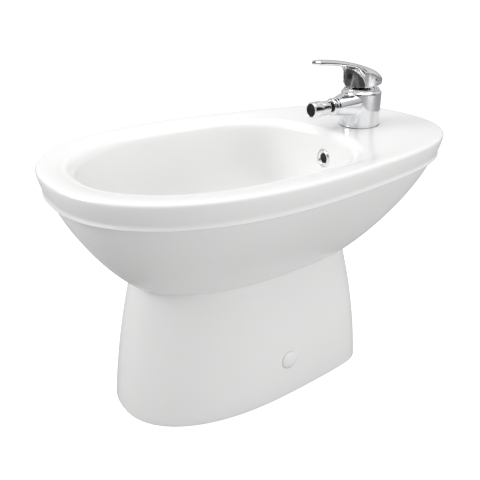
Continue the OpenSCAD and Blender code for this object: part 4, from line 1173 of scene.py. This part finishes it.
class BIDET_OT_finishes(Operator):
    """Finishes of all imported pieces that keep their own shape"""

    bl_idname = "bidet.finishes"
    bl_label = "Finishes of the packed pieces"

    def execute(self, context):
        for finish, names in NODE_FINISH.items():
            for name in names:
                slots = NODES[name].data.materials
                if not slots:
                    slots.append(None)
                for index in range(len(slots)):
                    slots[index] = material(finish)
        return {"FINISHED"}


# ---------------------------------------------------------------- studio

# Dark cards seen in the chrome: left and right turn in radians, lower and upper height on the unit sphere
DARK_CARDS = [(-1.2, -0.75, -0.2, 0.6), (0.35, 0.9, -0.2, 0.55), (-2.6, -2.1, -0.2, 0.5)]
CARD_GREY = 0.02
CARD_SOFT_SIDE = 0.03
CARD_SOFT_END = 0.04
ROOM_GREY = (0.48, 0.72)
ROOM_HEIGHTS = (-0.1, 0.8)
SOFT_LIGHT = 0.50
FLOOR_GLOW = 0.84
FLOOR_HALF = 12.0
# Lamps: place and aim in metres, width and height in metres, power in watts, whether mirrors see them
LAMPS = {
    "key_light": ((-1.0, -2.1, 1.65), (0, 0, 0.15), (1.4, 1.1), 35, True),
    "side_light": ((2.4, 0.8, 0.5), (0, 0, 0.2), (1.6, 0.9), 22, False),
    "top_light": ((0.3, 0.2, 2.6), (0, 0, 0.2), (2.2, 2.2), 34, True),
}
# Camera: sensor in millimetres, picture and focal length in pixels, and where it aims, in metres: a height
# above the floor's middle, then so far to the right and up in the picture
SENSOR = 36
PICTURE_SIDE = 480
FOCAL_PIXELS = 598.4
AIM_HEIGHT = 0.2
AIM_RIGHT = -0.02512
AIM_UP = 0.00648


def band_mask(tree, value, low, high, soft):
    """1 where value lies between low and high, falling off over soft."""
    rise = mapped(tree, value, low - soft, low + soft, 0.0, 1.0)
    fall = mapped(tree, value, high - soft, high + soft, 1.0, 0.0)
    return calc(tree, "MULTIPLY", rise, fall)


def studio_world(scene):
    """White for the camera and an even grey for soft light; mirrors see a grey room with dark cards."""
    world = bpy.data.worlds.new("studio")
    scene.world = world
    world.use_nodes = True
    tree = world.node_tree
    tree.nodes.clear()
    place = new_node(tree, "ShaderNodeTexCoord").outputs["Generated"]
    split = new_node(tree, "ShaderNodeSeparateXYZ", {0: place}).outputs
    turn = calc(tree, "ARCTAN2", split["Y"], split["X"])
    cards = 0.0
    for left, right, low, high in DARK_CARDS:
        across = band_mask(tree, turn, left, right, CARD_SOFT_SIDE)
        along = band_mask(tree, split["Z"], low, high, CARD_SOFT_END)
        cards = calc(tree, "MAXIMUM", cards, calc(tree, "MULTIPLY", across, along))
    light = new_node(tree, "ShaderNodeLightPath").outputs
    room = mapped(tree, split["Z"], *ROOM_HEIGHTS, *ROOM_GREY)
    mirrored = blend(tree, "FLOAT", cards, room, CARD_GREY)
    unseen = blend(tree, "FLOAT", light["Is Glossy Ray"], SOFT_LIGHT, mirrored)
    strength = blend(tree, "FLOAT", light["Is Camera Ray"], unseen, 1.0)
    back = new_node(tree, "ShaderNodeBackground", {"Color": (1, 1, 1, 1), "Strength": strength})
    new_node(tree, "ShaderNodeOutputWorld", {"Surface": back.outputs[0]})


def lit_backdrop(tree):
    """The floor glows for the camera alone, as a light table does, and stays mid grey for other rays."""
    dark = new_node(tree, "ShaderNodeEmission", {"Strength": 0.0}).outputs[0]
    glow = new_node(tree, "ShaderNodeEmission", {"Strength": FLOOR_GLOW}).outputs[0]
    seen = new_node(tree, "ShaderNodeLightPath").outputs["Is Camera Ray"]
    chosen = new_node(tree, "ShaderNodeMixShader", {0: seen, 1: dark, 2: glow}).outputs[0]
    both = new_node(tree, "ShaderNodeAddShader", {0: tree.nodes["Principled BSDF"].outputs[0], 1: chosen})
    feed(tree, tree.nodes["Material Output"].inputs["Surface"], both.outputs[0])


def area_light(name, place, aim, size, power, mirrored):
    """Rectangular lamp at the place, turned towards the aim."""
    data = bpy.data.lights.new(name, "AREA")
    data.shape = "RECTANGLE"
    data.size, data.size_y = size
    data.energy = power
    lamp = bpy.data.objects.new(name, data)
    lamp.location = place
    lamp.rotation_euler = (Vector(aim) - Vector(place)).to_track_quat("-Z", "Y").to_euler()
    lamp.visible_glossy = mirrored
    bpy.context.scene.collection.objects.link(lamp)


class BIDET_OT_studio(Operator):
    """The pale floor, the soft lights and the camera"""

    bl_idname = "bidet.studio"
    bl_label = "Studio"

    def execute(self, context):
        scene = context.scene
        settings = scene.bidet_studio
        studio_world(scene)
        colour = tuple(settings.floor_colour)
        floor = finish_material("pale_floor", colour, shade(colour, 0.985), (0.75, 0.85), 3.0, (300.0, 0.02))
        lit_backdrop(floor.node_tree)
        corners = np.array([[-1, -1, 0], [1, -1, 0], [1, 1, 0], [-1, 1, 0]]) * FLOOR_HALF / MM
        mesh_object("studio_floor", corners, [[[0, 1, 2, 3]]], [floor])
        for name, lamp in LAMPS.items():
            area_light(name, *lamp)
        a, e, d = settings.camera_azimuth, settings.camera_elevation, settings.camera_distance
        back = Vector((np.sin(a) * np.cos(e), -np.cos(a) * np.cos(e), np.sin(e)))
        right = Vector((np.cos(a), np.sin(a), 0))
        up = back.cross(right)
        target = Vector((0, 0, AIM_HEIGHT)) + right * AIM_RIGHT + up * AIM_UP
        data = bpy.data.cameras.new("camera")
        data.sensor_width = SENSOR
        data.lens = FOCAL_PIXELS * SENSOR / PICTURE_SIDE
        camera = bpy.data.objects.new("camera", data)
        turn = Matrix((right, up, back)).transposed().to_4x4()
        camera.matrix_world = Matrix.Translation(target + back * d) @ turn
        scene.collection.objects.link(camera)
        scene.camera = camera
        scene.view_settings.view_transform = "Standard"
        scene.view_settings.look = "None"
        return {"FINISHED"}


# ---------------------------------------------------------------- panel and run


class BIDET_PT_panel(Panel):
    """Sizes, colours and building steps of the bidet"""

    bl_label = "Bidet"
    bl_idname = "BIDET_PT_panel"
    bl_space_type = "VIEW_3D"
    bl_region_type = "UI"
    bl_category = "Bidet"

    def draw(self, context):
        layout = self.layout
        scene = context.scene
        for title, settings in (("Casting", scene.bidet_casting), ("Fittings", scene.bidet_fittings),
                                ("Studio", scene.bidet_studio)):
            box = layout.box()
            box.label(text=title)
            for name in settings.__annotations__:
                box.prop(settings, name)
        column = layout.column()
        for operator in OPERATORS:
            column.operator(operator.bl_idname)


OPERATORS = (BIDET_OT_casting, BIDET_OT_waste, BIDET_OT_caps, BIDET_OT_mixer, BIDET_OT_lever, BIDET_OT_nozzle,
             BIDET_OT_finishes, BIDET_OT_studio)
CLASSES = (CastingSettings, FittingSettings, StudioSettings, *OPERATORS, BIDET_PT_panel)


def register():
    for cls in CLASSES:
        bpy.utils.register_class(cls)
    bpy.types.Scene.bidet_casting = PointerProperty(type=CastingSettings)
    bpy.types.Scene.bidet_fittings = PointerProperty(type=FittingSettings)
    bpy.types.Scene.bidet_studio = PointerProperty(type=StudioSettings)


def unregister():
    del bpy.types.Scene.bidet_studio
    del bpy.types.Scene.bidet_fittings
    del bpy.types.Scene.bidet_casting
    for cls in reversed(CLASSES):
        bpy.utils.unregister_class(cls)


def main():
    register()
    for step in (bpy.ops.bidet.casting, bpy.ops.bidet.waste, bpy.ops.bidet.caps, bpy.ops.bidet.mixer,
                 bpy.ops.bidet.lever, bpy.ops.bidet.nozzle, bpy.ops.bidet.finishes, bpy.ops.bidet.studio):
        step()


if __name__ == "__main__":
    main()
